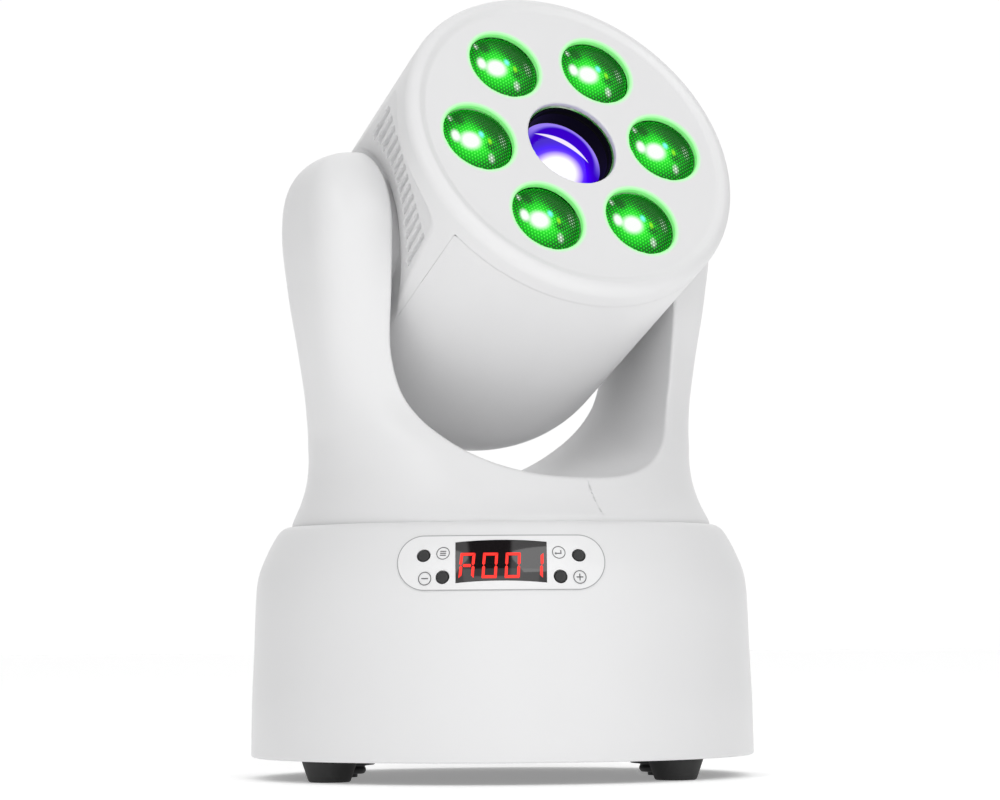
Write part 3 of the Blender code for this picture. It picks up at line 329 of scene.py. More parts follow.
def yoke_field(p):
    outer = even(yoke_raw, p)
    gap = even(u_raw, p)
    z = p[:, 2]
    outer = cut(outer, z - YOKE_TOP + 0.25, 1.0)
    body = cut(outer, -gap, 1.3)
    body = cut(body, 85.1 - z, 0.5)
    inner = np.maximum(np.maximum(outer + YOKE_WALL, YOKE_WALL - gap), 87.6 - z)
    shell = np.maximum(body, -inner)
    bore = np.maximum(np.hypot(p[:, 1], z - TILT_Z) - 11.3, np.abs(p[:, 0]) - 61.0)
    shell = cut(shell, -bore, 0.3)
    return np.maximum(shell, -np.maximum(np.hypot(p[:, 0], p[:, 1]) - 9.8, z - 90))


def yoke_half(p):
    return np.maximum(yoke_field(p), YOKE_PARTING - p[:, 0])


# -------------------------------------------------------------------- the head
def body_field(r, l):
    """The turned body of the head, without its rounded front rim."""
    radius = np.interp(l, [DOME_L, 36.0, 52.0], [BACK_R, WAIST_R, RING_R])
    side = r - radius
    a, b = r / BACK_R, (l - DOME_L) / DOME_LEN
    q = np.sqrt(a * a + b * b) + 1e-9
    slope = np.hypot(a / BACK_R, b / DOME_LEN) / q
    return np.where(l > DOME_L, side, (q - 1) / np.maximum(slope, 1e-3))


def front_field(r, l):
    """The flat lens face with the raised ring round it."""
    t = np.clip((r - 54.4) / 3.4, 0, 1)
    rise = 1.1 * t * t * (3 - 2 * t)
    return (l - FACE_L - rise) / np.sqrt(1 + (1.1 * 6 * t * (1 - t) / 3.4) ** 2)


def side_reach(l):
    return SIDE_S + SIDE_SLOPE * np.maximum(l + 5.0, 0.0)


def head_solid(p):
    """The whole head before it is split, outside shape and inner hollow."""
    s, v, l = np.abs(p[:, 0]), p[:, 1], p[:, 2]
    r = np.hypot(p[:, 0], v)
    body = body_field(r, l)
    outer = cut(body, front_field(r, l), 4.3)
    plane = side_reach(l)
    flank = cut(plane - s, l - 51.2, 5.5)
    outer = cut(outer, -flank, 0.5)
    recess = cut(np.hypot(l - RECESS_L, v) - RECESS_R, RECESS_S - s, 1.2)
    outer = cut(outer, -recess, 0.9)
    boss = cut(np.maximum(np.hypot(l, v) - BOSS_R, 44.0 - s), s - BOSS_S, 0.8)
    outer = join(outer, boss, 0.8)
    # vents in the flat sides, all ending on one circle behind and one line in front
    i = np.clip(np.round(v / GROOVE_PITCH + (GROOVES - 1) / 2), 0, GROOVES - 1)
    at = (i - (GROOVES - 1) / 2) * GROOVE_PITCH
    low = RECESS_L + np.sqrt(GROOVE_R ** 2 - at ** 2) + GROOVE_HALF_W
    high = GROOVE_FRONT_L - GROOVE_HALF_W
    along = l - np.clip(l, low, high)
    vent = cut(np.hypot(v - at, along) - GROOVE_HALF_W, plane - GROOVE_DEPTH - s, 0.35)
    outer = cut(outer, -np.maximum(vent, 40.0 - s), 0.2)

    inside = np.maximum(body + HEAD_WALL, l - FACE_L + 2.5)
    wall = np.where(l < 25.5, 47.7, np.minimum(47.7 + (l - 25.5) * 0.5, plane - 2.9))
    inside = np.maximum(inside, s - wall)
    shell = np.maximum(outer, -inside)

    angle = np.round(np.arctan2(v, p[:, 0]) / (math.pi / 3)) * (math.pi / 3)
    lens = np.hypot(p[:, 0] - LENS_RING_R * np.cos(angle), v - LENS_RING_R * np.sin(angle)) - LENS_HOLE_R
    holes = np.minimum(lens, r - SPOT_HOLE_R)
    shell = cut(shell, -np.maximum(holes, 50.0 - l), 0.55)
    bore = np.maximum(np.hypot(v, l) - 7.4, 40.0 - s)
    shell = cut(shell, -bore, 0.4)
    row = np.clip(np.round(v / 6.4), -3, 3) * 6.4
    reach = np.sqrt(27.0 ** 2 - row ** 2)
    slot = np.hypot(s - np.minimum(s, reach - 1.5), v - row) - 1.5
    return cut(shell, -np.maximum(slot, l + 50.0), 0.45)


def housing_field(p):
    v, l = np.abs(p[:, 1]), p[:, 2]
    return np.maximum(head_solid(p), -np.maximum(SEAM_V - HEAD_PARTING - v, l - PARTING_L))


def cover_field(p):
    v, l = p[:, 1], p[:, 2]
    return np.maximum(np.maximum(head_solid(p), SEAM_V + HEAD_PARTING - v), l - PARTING_L + 2 * HEAD_PARTING)


# ------------------------------------------------------------- plain mesh tools
def turned(profile, steps, closed=True):
    bm = bmesh.new()
    verts = [bm.verts.new((r, 0.0, z)) for r, z in profile]
    edges = [bm.edges.new(pair) for pair in zip(verts, verts[1:])]
    if closed:
        edges.append(bm.edges.new((verts[-1], verts[0])))
    bmesh.ops.spin(bm, geom=verts + edges, cent=(0, 0, 0), axis=(0, 0, 1),
                   angle=math.tau, steps=steps, use_merge=True)
    bmesh.ops.remove_doubles(bm, verts=bm.verts, dist=1e-4)
    return bm


def box(x, y, z, bevel=0.0):
    bm = bmesh.new()
    size = (x[1] - x[0], y[1] - y[0], z[1] - z[0])
    middle = ((x[0] + x[1]) / 2, (y[0] + y[1]) / 2, (z[0] + z[1]) / 2)
    bmesh.ops.create_cube(bm, size=1.0, matrix=Matrix.Translation(middle) @ Matrix.Diagonal((*size, 1.0)))
    if bevel:
        bmesh.ops.bevel(bm, geom=bm.edges[:], offset=bevel, segments=3, affect="EDGES", profile=0.5)
    return bm


def rod(radius, z, steps, x=0.0, y=0.0):
    bm = bmesh.new()
    bmesh.ops.create_cone(bm, cap_ends=True, segments=steps, radius1=radius, radius2=radius,
                          depth=z[1] - z[0], matrix=Matrix.Translation((x, y, (z[0] + z[1]) / 2)))
    return bm


def prism(outline, low, high):
    bm = bmesh.new()
    bottom = [bm.verts.new((x, y, low)) for x, y in outline]
    top = [bm.verts.new((x, y, high)) for x, y in outline]
    bm.faces.new(bottom[::-1])
    bm.faces.new(top)
    for i in range(len(outline)):
        j = (i + 1) % len(outline)
        bm.faces.new((bottom[i], bottom[j], top[j], top[i]))
    return bm


def merged(parts):
    bm = parts[0]
    for part in parts[1:]:
        held = bpy.data.meshes.new("held")
        part.to_mesh(held)
        bm.from_mesh(held)
        bpy.data.meshes.remove(held)
        part.free()
    return bm


def moved(bm, matrix):
    bmesh.ops.transform(bm, matrix=matrix, verts=bm.verts)
    return bm


def arc(radius, start, end, steps, cx=0.0, cy=0.0):
    return [(cx + radius * math.cos(math.radians(start + (end - start) * i / steps)),
             cy + radius * math.sin(math.radians(start + (end - start) * i / steps)))
            for i in range(steps + 1)]


def rounded(profile, radius=0.6, steps=4):
    """A profile with each marked corner (r, z, fillet) turned into an arc."""
    out = []
    count = len(profile)
    for i, point in enumerate(profile):
        fillet = point[2] if len(point) > 2 else 0.0
        if fillet <= 0 or i in (0, count - 1):
            out.append((point[0], point[1]))
            continue
        p = Vector(point[:2])
        a = Vector(profile[i - 1][:2]) - p
        b = Vector(profile[(i + 1) % count][:2]) - p
        cut_a = min(fillet, a.length * 0.49)
        cut_b = min(fillet, b.length * 0.49)
        start, end = p + a.normalized() * cut_a, p + b.normalized() * cut_b
        for k in range(steps + 1):
            t = k / steps
            q = start * (1 - t) ** 2 + p * 2 * t * (1 - t) + end * t * t
            out.append((q.x, q.y))
    return out


def place(name, bm, body, matrix=BASE_FRAME, sharp=40.0, cutter=False):
    bmesh.ops.recalc_face_normals(bm, faces=bm.faces)
    if bm.calc_volume(signed=True) < 0:
        bmesh.ops.reverse_faces(bm, faces=bm.faces)
    bmesh.ops.transform(bm, matrix=Matrix.Scale(MM, 4) @ matrix, verts=bm.verts)
    mesh = bpy.data.meshes.new(name)
    bm.to_mesh(mesh)
    bm.free()
    mesh.shade_smooth()
    mesh.set_sharp_from_angle(angle=math.radians(sharp))
    made = bpy.data.objects.new(name, mesh)
    bpy.context.scene.collection.objects.link(made)
    if not cutter:
        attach(made, body)
    return made


def carve(target, tools, operation="DIFFERENCE", sharp=30.0):
    """Apply Booleans to a mesh, so no modifier or cutter is left behind."""
    for tool in tools:
        made = target.modifiers.new("carve", "BOOLEAN")
        made.operation, made.solver, made.object = operation, "EXACT", tool
    bpy.context.view_layer.update()
    result = bpy.data.meshes.new_from_object(target.evaluated_get(bpy.context.evaluated_depsgraph_get()))
    target.modifiers.clear()
    old, target.data = target.data, result
    bpy.data.meshes.remove(old)
    for tool in tools:
        bpy.data.objects.remove(tool, do_unlink=True)
    target.data.shade_smooth()
    target.data.set_sharp_from_angle(angle=math.radians(sharp))
    return target


def base_radius(z):
    rows = BASE_OUTER
    for (r0, z0), (r1, z1) in zip(rows, rows[1:]):
        if z0 <= z <= z1:
            return r0 + (r1 - r0) * (z - z0) / (z1 - z0)
    return rows[-1][0]


def shoulder_y(x, z, out=0.0):
    return math.sqrt((base_radius(z) + out) ** 2 - x * x)


# ------------------------------------------------------------------- materials
class Num:
    """A number in a node tree, so that a pattern can be written as a formula."""

    def __init__(self, tree, value):
        self.tree, self.value = tree, value

    def _do(self, what, *others):
        node = self.tree.nodes.new("ShaderNodeMath")
        node.operation = what
        for i, v in enumerate((self, *others)):
            v = v.value if isinstance(v, Num) else v
            if isinstance(v, (int, float)):
                node.inputs[i].default_value = v
            else:
                self.tree.links.new(v, node.inputs[i])
        return Num(self.tree, node.outputs[0])

    def __add__(self, o): return self._do("ADD", o)
    def __radd__(self, o): return self._do("ADD", o)
    def __sub__(self, o): return self._do("SUBTRACT", o)
    def __rsub__(self, o): return Num(self.tree, float(o))._do("SUBTRACT", self)
    def __mul__(self, o): return self._do("MULTIPLY", o)
    def __rmul__(self, o): return self._do("MULTIPLY", o)
    def __truediv__(self, o): return self._do("DIVIDE", o)
    def abs(self): return self._do("ABSOLUTE")
    def sqrt(self): return self._do("SQRT")
    def cos(self): return self._do("COSINE")
    def min(self, o): return self._do("MINIMUM", o)
    def max(self, o): return self._do("MAXIMUM", o)

    def step(self, low, high, invert=False):
        """0 below low, 1 above high, smooth between."""
        node = self.tree.nodes.new("ShaderNodeMapRange")
        node.interpolation_type = "SMOOTHSTEP"
        self.tree.links.new(self.value, node.inputs["Value"])
        node.inputs["From Min"].default_value = low
        node.inputs["From Max"].default_value = high
        node.inputs["To Min"].default_value = 1.0 if invert else 0.0
        node.inputs["To Max"].default_value = 0.0 if invert else 1.0
        return Num(self.tree, node.outputs["Result"])


def bell(x, y, cx, cy, rx, ry):
    """A soft round spot: 1 in the middle, 0 from its edge outwards."""
    dx, dy = (x - cx) / rx, (y - cy) / ry
    return (dx * dx + dy * dy).sqrt().step(0.15, 1.0, invert=True)


class Look:
    """A material being made: a Principled shader with patterns in object space."""

    def __init__(self, name, colour, rough, metal=0.0, **sockets):
        self.material = bpy.data.materials.new(name)
        self.material.use_nodes = True
        self.tree = self.material.node_tree
        self.shader = self.tree.nodes["Principled BSDF"]
        self.colour = colour
        self.set("Base Color", (*colour, 1.0))
        self.set("Roughness", rough)
        self.set("Metallic", metal)
        for key, value in sockets.items():
            self.set(key.replace("_", " "), value)
        self.coords = self.tree.nodes.new("ShaderNodeTexCoord").outputs["Object"]

    def set(self, socket, value):
        self.shader.inputs[socket].default_value = value

    def link(self, value, socket):
        self.tree.links.new(value.value if isinstance(value, Num) else value, self.shader.inputs[socket])

    def local(self, matrix):
        """Coordinates in millimetres in a frame given in millimetres."""
        out = []
        origin = matrix.translation
        for k in range(3):
            axis = matrix.col[k].to_3d()
            node = self.tree.nodes.new("ShaderNodeVectorMath")
            node.operation = "DOT_PRODUCT"
            self.tree.links.new(self.coords, node.inputs[0])
            node.inputs[1].default_value = axis / MM
            out.append(Num(self.tree, node.outputs["Value"]) - float(origin.dot(axis)))
        return out

    def noise(self, scale, detail=2.0, stretch=None):
        node = self.tree.nodes.new("ShaderNodeTexNoise")
        node.inputs["Scale"].default_value = scale
        node.inputs["Detail"].default_value = detail
        source = self.coords
        if stretch:
            mapping = self.tree.nodes.new("ShaderNodeMapping")
            mapping.inputs["Scale"].default_value = stretch
            self.tree.links.new(source, mapping.inputs["Vector"])
            source = mapping.outputs["Vector"]
        self.tree.links.new(source, node.inputs["Vector"])
        return Num(self.tree, node.outputs["Fac"])

    def ramp(self, value, low, high, stops):
        """A number to a colour, through evenly read stops (position, colour)."""
        node = self.tree.nodes.new("ShaderNodeValToRGB")
        while len(node.color_ramp.elements) < len(stops):
            node.color_ramp.elements.new(0.5)
        for element, (at, colour) in zip(node.color_ramp.elements, stops):
            element.position = at
            element.color = (*colour, 1.0)
        self.tree.links.new(((value - low) / (high - low)).value, node.inputs["Fac"])
        return node.outputs["Color"]

    def mix(self, factor, a, b):
        node = self.tree.nodes.new("ShaderNodeMix")
        node.data_type = "RGBA"
        self.tree.links.new(factor.value, node.inputs["Factor"])
        for v, socket in ((a, node.inputs["A"]), (b, node.inputs["B"])):
            if isinstance(v, tuple):
                socket.default_value = (*v, 1.0)
            else:
                self.tree.links.new(v, socket)
        return node.outputs["Result"]

    def bump(self, height, distance, strength=1.0):
        node = self.tree.nodes.new("ShaderNodeBump")
        node.inputs["Distance"].default_value = distance * MM
        node.inputs["Strength"].default_value = strength
        self.tree.links.new(height.value if isinstance(height, Num) else height, node.inputs["Height"])
        self.tree.links.new(node.outputs["Normal"], self.shader.inputs["Normal"])

    def moulded(self, grain=2600.0, depth=0.006, spread=0.05, tone=0.03):
        """Fine moulded grain: small bumps, uneven gloss and a slight change of tone."""
        fine = self.noise(grain, 2.0)
        broad = self.noise(26.0, 3.0)
        rough = self.shader.inputs["Roughness"].default_value
        self.link((broad - 0.5) * (2 * spread) + rough, "Roughness")
        dark = tuple(c * (1 - tone) for c in self.colour)
        light = tuple(min(1.0, c * (1 + tone)) for c in self.colour)
        result = self.mix(broad, dark, light)
        self.tree.links.new(result, self.shader.inputs["Base Color"])
        self.bump(fine, depth)
        self.base = result
        return self


def white_plastic(name="white_plastic"):
    look = Look(name, (0.80, 0.80, 0.805), 0.32, Specular_IOR_Level=0.38)
    look.moulded(3000.0, 0.004, 0.03, 0.012)
    return look


def lens_spots():
    return [(LENS_RING_R * math.cos(math.radians(60 * i)), LENS_RING_R * math.sin(math.radians(60 * i))) for i in range(6)]


def housing_look():
    """White plastic with painted green light from the lit lenses round their holes, as colour and a faint glow."""
    look = white_plastic("white_plastic_face")
    x, y, z = look.local(HEAD_FRAME)
    nearest = None
    for cx, cy in lens_spots():
        dx, dy = x - cx, y - cy
        d = (dx * dx + dy * dy).sqrt()
        nearest = d if nearest is None else nearest.min(d)
    # painted light: the lenses' green spill on the face round each hole, put in the colour and as a faint glow
    painted_lens_spill = nearest.step(12.7, 14.9, invert=True) * z.step(56.0, 58.0)
    colour = look.mix(painted_lens_spill * 0.85, look.base, (0.30, 0.95, 0.30))
    look.tree.links.new(colour, look.shader.inputs["Base Color"])
    look.set("Emission Color", (0.12, 1.0, 0.12, 1.0))
    look.link(painted_lens_spill * 0.30, "Emission Strength")
    return look.material


def wash_look(index, centre):
    look = Look("wash_lens_%d" % index, (0.0, 0.05, 0.003), 0.10, Specular_IOR_Level=0.25)
    x, y, _ = look.local(HEAD_FRAME @ Matrix.Translation((*centre, 0)))
    k = 2 * math.pi / (1.2 * math.sqrt(3) / 2)
    cells = ((x * k).cos() + ((x * -0.5 + y * 0.8660) * k).cos() + ((x * -0.5 - y * 0.8660) * k).cos())
    dots = cells.step(0.2, 1.9)
    r = (x * x + y * y).sqrt()
    # broad light: bright below and left, dark to the upper right, bright at the rim
    glow = bell(x, y, -2.6, -1.6, 13.5, 12.5)
    dark = bell(x, y, 6.5, 5.0, 9.5, 9.5).max(bell(x, y, -5.4, 7.6, 2.4, 3.6)).max(bell(x, y, 3.6, -3.6, 3.4, 2.6) * 0.9)
    rim = r.step(11.2, 12.5)
    level = (glow * 0.72 + 0.20 - dark * 0.40 + rim * 0.16 + (dots - 0.4) * (dark * 0.10 + 0.40)).max(0.03)
    green = look.ramp(level, 0.0, 1.0, [(0.0, (0.0, 0.03, 0.0)), (0.25, (0.0, 0.14, 0.002)), (0.55, (0.0, 0.55, 0.005)),
                                       (0.8, (0.01, 0.95, 0.01)), (1.0, (0.1, 1.0, 0.08))])
    white = (bell(x, y, -3.6, -1.6, 5.0, 4.6) * 1.7 + bell(x, y, -8.4, 0.6, 2.0, 3.4) * 1.3
             + bell(x, y, 3.0, -8.0, 1.7, 2.4) * (dots * 0.8 + 0.35) + bell(x, y, -8.2, 8.4, 1.1, 1.9) * (dots + 0.2)
             + bell(x, y, 9.2, -0.6, 2.2, 4.0) * (dots * 0.5)).min(1.0)
    lit = look.mix(white, green, (0.95, 1.0, 0.95))
    lit = look.mix(bell(x, y, 0.9, 0.9, 1.5, 2.0), lit, (0.2, 1.0, 0.95))
    lit = look.mix(bell(x, y, 3.6, -1.6, 1.1, 1.8) * 0.8, lit, (0.35, 0.85, 0.0))
    look.tree.links.new(lit, look.shader.inputs["Emission Color"])
    look.set("Emission Strength", 1.0)
    look.bump(cells, 0.12, 0.8)
    return look.material


def spot_look():
    look = Look("spot_glass", (0.01, 0.0, 0.06), 0.04, IOR=1.5, Specular_IOR_Level=0.3)
    x, y, _ = look.local(HEAD_FRAME)
    r = (x * x + y * y).sqrt()
    hot = bell(x, y, -4.4, -7.6, 16.5, 13.0)
    lit = look.ramp(hot, 0.0, 1.0, [(0.0, (0.035, 0.0, 0.55)), (0.25, (0.055, 0.0, 1.0)), (0.42, (0.12, 0.03, 1.0)),
                                    (0.62, (0.62, 0.48, 1.0)), (0.78, (1.0, 1.0, 1.0)), (1.0, (1.0, 1.0, 1.0))])
    across = (x - 0.4) * 0.570 + (y - 3.2) * 0.822
    along = (x - 0.4) * 0.822 - (y - 3.2) * 0.570
    crescent = across.step(-0.15, 0.1) * ((1.0 - along * along / 112.0) * 2.3 - across).step(-0.1, 0.2)
    lit = look.mix(crescent, lit, (0.90, 0.80, 1.0))
    edge = r.step(11.6, 13.8) * (x * 0.45 + y * 0.9).step(-2.0, 9.0)
    lit = look.mix(edge * 0.8, lit, (0.40, 0.28, 1.0))
    look.tree.links.new(lit, look.shader.inputs["Emission Color"])
    look.set("Emission Strength", 1.0)
    return look.material


def overlay_look():
    """White printed overlay with a thin grey line inside its edge."""
    look = Look("overlay", (0.84, 0.84, 0.845), 0.3)
    look.moulded(1800.0, 0.003, 0.04, 0.01)
    x, y, z = look.local(BASE_FRAME)
    half = (PANEL_Z[1] - PANEL_Z[0]) / 2
    corner = 9.1
    dx = (x.abs() - (PANEL_X - corner)).max(0.0)
    dz = ((z - (PANEL_Z[0] + half)).abs() - (half - corner)).max(0.0)
    d = (dx * dx + dz * dz).sqrt() - corner
    line = (d + 0.14).abs().step(0.10, 0.24, invert=True)
    colour = look.mix(line * 0.85, look.base, (0.30, 0.30, 0.31))
    look.tree.links.new(colour, look.shader.inputs["Base Color"])
    return look.material


def looks():
    """One procedural material for each of the record's slots."""
    made = {"white_plastic": white_plastic().material}
    made["white_plastic_face"] = housing_look()
    made["black_plastic"] = Look("black_plastic", (0.018, 0.018, 0.019), 0.42).moulded(2200.0, 0.02, 0.06, 0.15).material
    made["black_gloss"] = Look("black_gloss", (0.003, 0.003, 0.003), 0.55, Specular_IOR_Level=0.04).moulded(900.0, 0.001, 0.03, 0.1).material
    made["rubber"] = Look("rubber", (0.016, 0.016, 0.016), 0.62).moulded(1500.0, 0.03, 0.08, 0.2).material
    made["overlay"] = overlay_look()
    glass = Look("smoked_window", (0.012, 0.010, 0.011), 0.05, IOR=1.49, Coat_Weight=0.4, Coat_Roughness=0.03)
    glass.moulded(700.0, 0.0005, 0.01, 0.1)
    made["smoked_window"] = glass.material
    made["display"] = Look("display", (0.02, 0.02, 0.02), 0.4).moulded(1200.0, 0.005, 0.04, 0.1).material
    digit = Look("digit", (0.25, 0.0, 0.0), 0.4)
    fine = digit.noise(900.0, 1.0)
    digit.set("Emission Color", (1.0, 0.02, 0.01, 1.0))
    digit.link(fine * 0.5 + 1.05, "Emission Strength")
    made["digit"] = digit.material
    for slot, colour in (("circuit", (0.02, 0.13, 0.05)), ("white_circuit", (0.78, 0.78, 0.75))):
        board = Look(slot, colour, 0.42).moulded(1600.0, 0.01, 0.06, 0.05)
        traces = board.noise(420.0, 0.0, (1.0, 6.0, 1.0)).step(0.52, 0.55)
        lined = board.mix(traces * 0.4, board.base, tuple(min(1.0, c * 1.8 + 0.02) for c in colour))
        board.tree.links.new(lined, board.shader.inputs["Base Color"])
        made[slot] = board.material
    for slot, colour, rough, stretch in (("steel", (0.58, 0.58, 0.59), 0.3, (1, 1, 30)), ("aluminium", (0.74, 0.75, 0.77), 0.36, (30, 1, 1))):
        metal = Look(slot, colour, rough, 1.0).moulded(1000.0, 0.002, 0.05, 0.03)
        brushed = metal.noise(300.0, 2.0, stretch)
        metal.link((brushed - 0.5) * 0.25 + rough, "Roughness")
        made[slot] = metal.material
    made["black_steel"] = Look("black_steel", (0.022, 0.022, 0.023), 0.5).moulded(2400.0, 0.03, 0.06, 0.15).material
    made["belt_rubber"] = Look("belt_rubber", (0.02, 0.02, 0.02), 0.65).moulded(2000.0, 0.02, 0.08, 0.2).material
    made["spot_glass"] = spot_look()
    chip = Look("led_chip", (0.8, 0.68, 0.25), 0.4).moulded(1500.0, 0.01, 0.05, 0.05)
    made["led_chip"] = chip.material
    grey = Look("print_grey", (0.10, 0.10, 0.105), 0.4).moulded(1800.0, 0.001, 0.04, 0.03)
    made["print_grey"] = grey.material
    return made


LOOKS = looks()


def dress(obj, look):
    obj.data.materials.clear()
    obj.data.materials.append(LOOKS[look] if isinstance(look, str) else look)
    return obj


# ------------------------------------------------------------------ the shells
def build_yoke():
    step = 0.95
    everywhere = lambda p, d: np.ones(len(p), bool)
    verts, faces, normals = surface(yoke_half, (-2 * step, -75.5, 83.0), (81.0, 75.5, 218.0), step,
                                    planes=[(0, YOKE_PARTING, everywhere)], free=yoke_field)
    for name, mirror in (("yoke_shell_right_form", False), ("yoke_shell_left_form", True)):
        shape = verts
        if mirror:
            # the left shell has a slightly prouder rim along its foot
            away = np.clip((86.9 - verts[:, 2]) / 0.5, 0, 1) * (np.hypot(verts[:, 0], verts[:, 1]) > 71.5)
            flat = verts[:, :2] / np.maximum(np.hypot(verts[:, 0], verts[:, 1]), 1e-6)[:, None]
            shape = verts.copy()
            shape[:, :2] += 0.22 * away[:, None] * flat
            shape[:, 0] = np.where(np.abs(verts[:, 0] - YOKE_PARTING) < 1e-6, YOKE_PARTING, shape[:, 0])
        shell = solid(name, shape, faces, normals, YOKE_FRAME, mirror)
        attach(shell, "yoke")
        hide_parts(name[:-5])
        dress(shell, "white_plastic")


def build_head():
    step = 0.8
    behind = lambda p, d: p[:, 2] < PARTING_L + d
    outside = lambda p, d: np.abs(p[:, 1]) > SEAM_V - d
    seam = SEAM_V - HEAD_PARTING
    verts, faces, normals = surface(housing_field, (-63.3, -63.3, -83.0), (63.3, 63.3, 63.0), step,
                                    planes=[(1, seam, behind), (1, -seam, behind), (2, PARTING_L, outside)], free=head_solid)
    housing = solid("head_housing_form", verts, faces, normals, HEAD_FRAME)
    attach(housing, "head")
    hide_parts("head_housing")
    dress(housing, "white_plastic_face")
    verts, faces, normals = surface(cover_field, (-53.0, 33.0, -83.0), (53.0, 63.0, 54.0), step,
                                    planes=[(1, SEAM_V + HEAD_PARTING, behind), (2, PARTING_L - 2 * HEAD_PARTING, outside)],
                                    free=head_solid)
    for name, flip in (("head_cover_upper", False), ("head_cover_lower", True)):
        # the lower cover is the upper one turned half a turn about the beam
        matrix = HEAD_FRAME @ Matrix.Rotation(math.pi if flip else 0.0, 4, "Z")
        cover = solid(name + "_form", verts, faces, normals, matrix)
        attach(cover, "head")
        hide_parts(name)
        dress(cover, "white_plastic")


def build_lenses():
    for i, centre in enumerate(lens_spots(), 1):
        wide = LENS_R + 0.22
        dome = [(wide * k / 26, 60.5 - 2.55 * (k / 26) ** 2) for k in range(26)]
        profile = dome + [(wide - 0.12, 58.05), (wide, 57.8), (wide, 56.2), (wide - 0.2, 56.0), (4.6, 43.2), (0.0, 43.2)]
        lens = place("wash_lens_%d_form" % i, turned(profile, 96, closed=False), "head",
                     HEAD_FRAME @ Matrix.Translation((*centre, 0)))
        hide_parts("wash_lens_%d" % i)
        dress(lens, wash_look(i, centre))
    bore = SPOT_BORE_R + 0.5
    tube = rounded([(bore, 58.0), (bore + 0.3, 58.3, 0.2), (SPOT_TUBE_R + 0.1, 58.0, 0.3), (SPOT_TUBE_R + 0.1, 18.0), (13.0, 18.0), (13.0, 20.0),
                    (14.4, 20.0), (14.4, SPOT_LENS_L - 3.3), (bore, SPOT_LENS_L - 3.3), (bore, 55.0),
                    (bore - 0.25, 55.3, 0.2), (bore - 0.25, 55.7, 0.2), (bore, 56.0)])
    barrel = place("spot_tube_form", turned(tube, 128), "head", HEAD_FRAME)
    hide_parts("spot_tube")
    dress(barrel, "black_gloss")
    rise, wide = 4.7, SPOT_LENS_R + 0.45
    sphere = (wide ** 2 + rise ** 2) / (2 * rise)
    profile = []
    for k in range(33):
        r = wide * k / 32
        profile.append((r, SPOT_LENS_L + rise - sphere + math.sqrt(sphere ** 2 - r * r)))
    profile += [(wide, SPOT_LENS_L - 2.8), (wide - 0.2, SPOT_LENS_L - 3.0), (0.0, SPOT_LENS_L - 3.0)]
    lens = place("spot_lens_form", turned(profile, 128, closed=False), "head", HEAD_FRAME)
    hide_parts("spot_lens")
    dress(lens, "spot_glass")


# -------------------------------------------------------------------- the base
def tangent(x, z, out=0.0):
    """A frame on the shoulder: X across, Y up the slope, Z outwards."""
    y = -shoulder_y(x, z, out)
    r = base_radius(z)
    lean = math.atan2(base_radius(z - 1.0) - base_radius(z + 1.0), 2.0)
    n = Vector((x / r * math.cos(lean), y / r * math.cos(lean), math.sin(lean))).normalized()
    across = Vector((0, 0, 1)).cross(n).normalized()
    up = n.cross(across)
    m = Matrix((across, up, n)).transposed().to_4x4()
    m.translation = Vector((x, y, z))
    return m


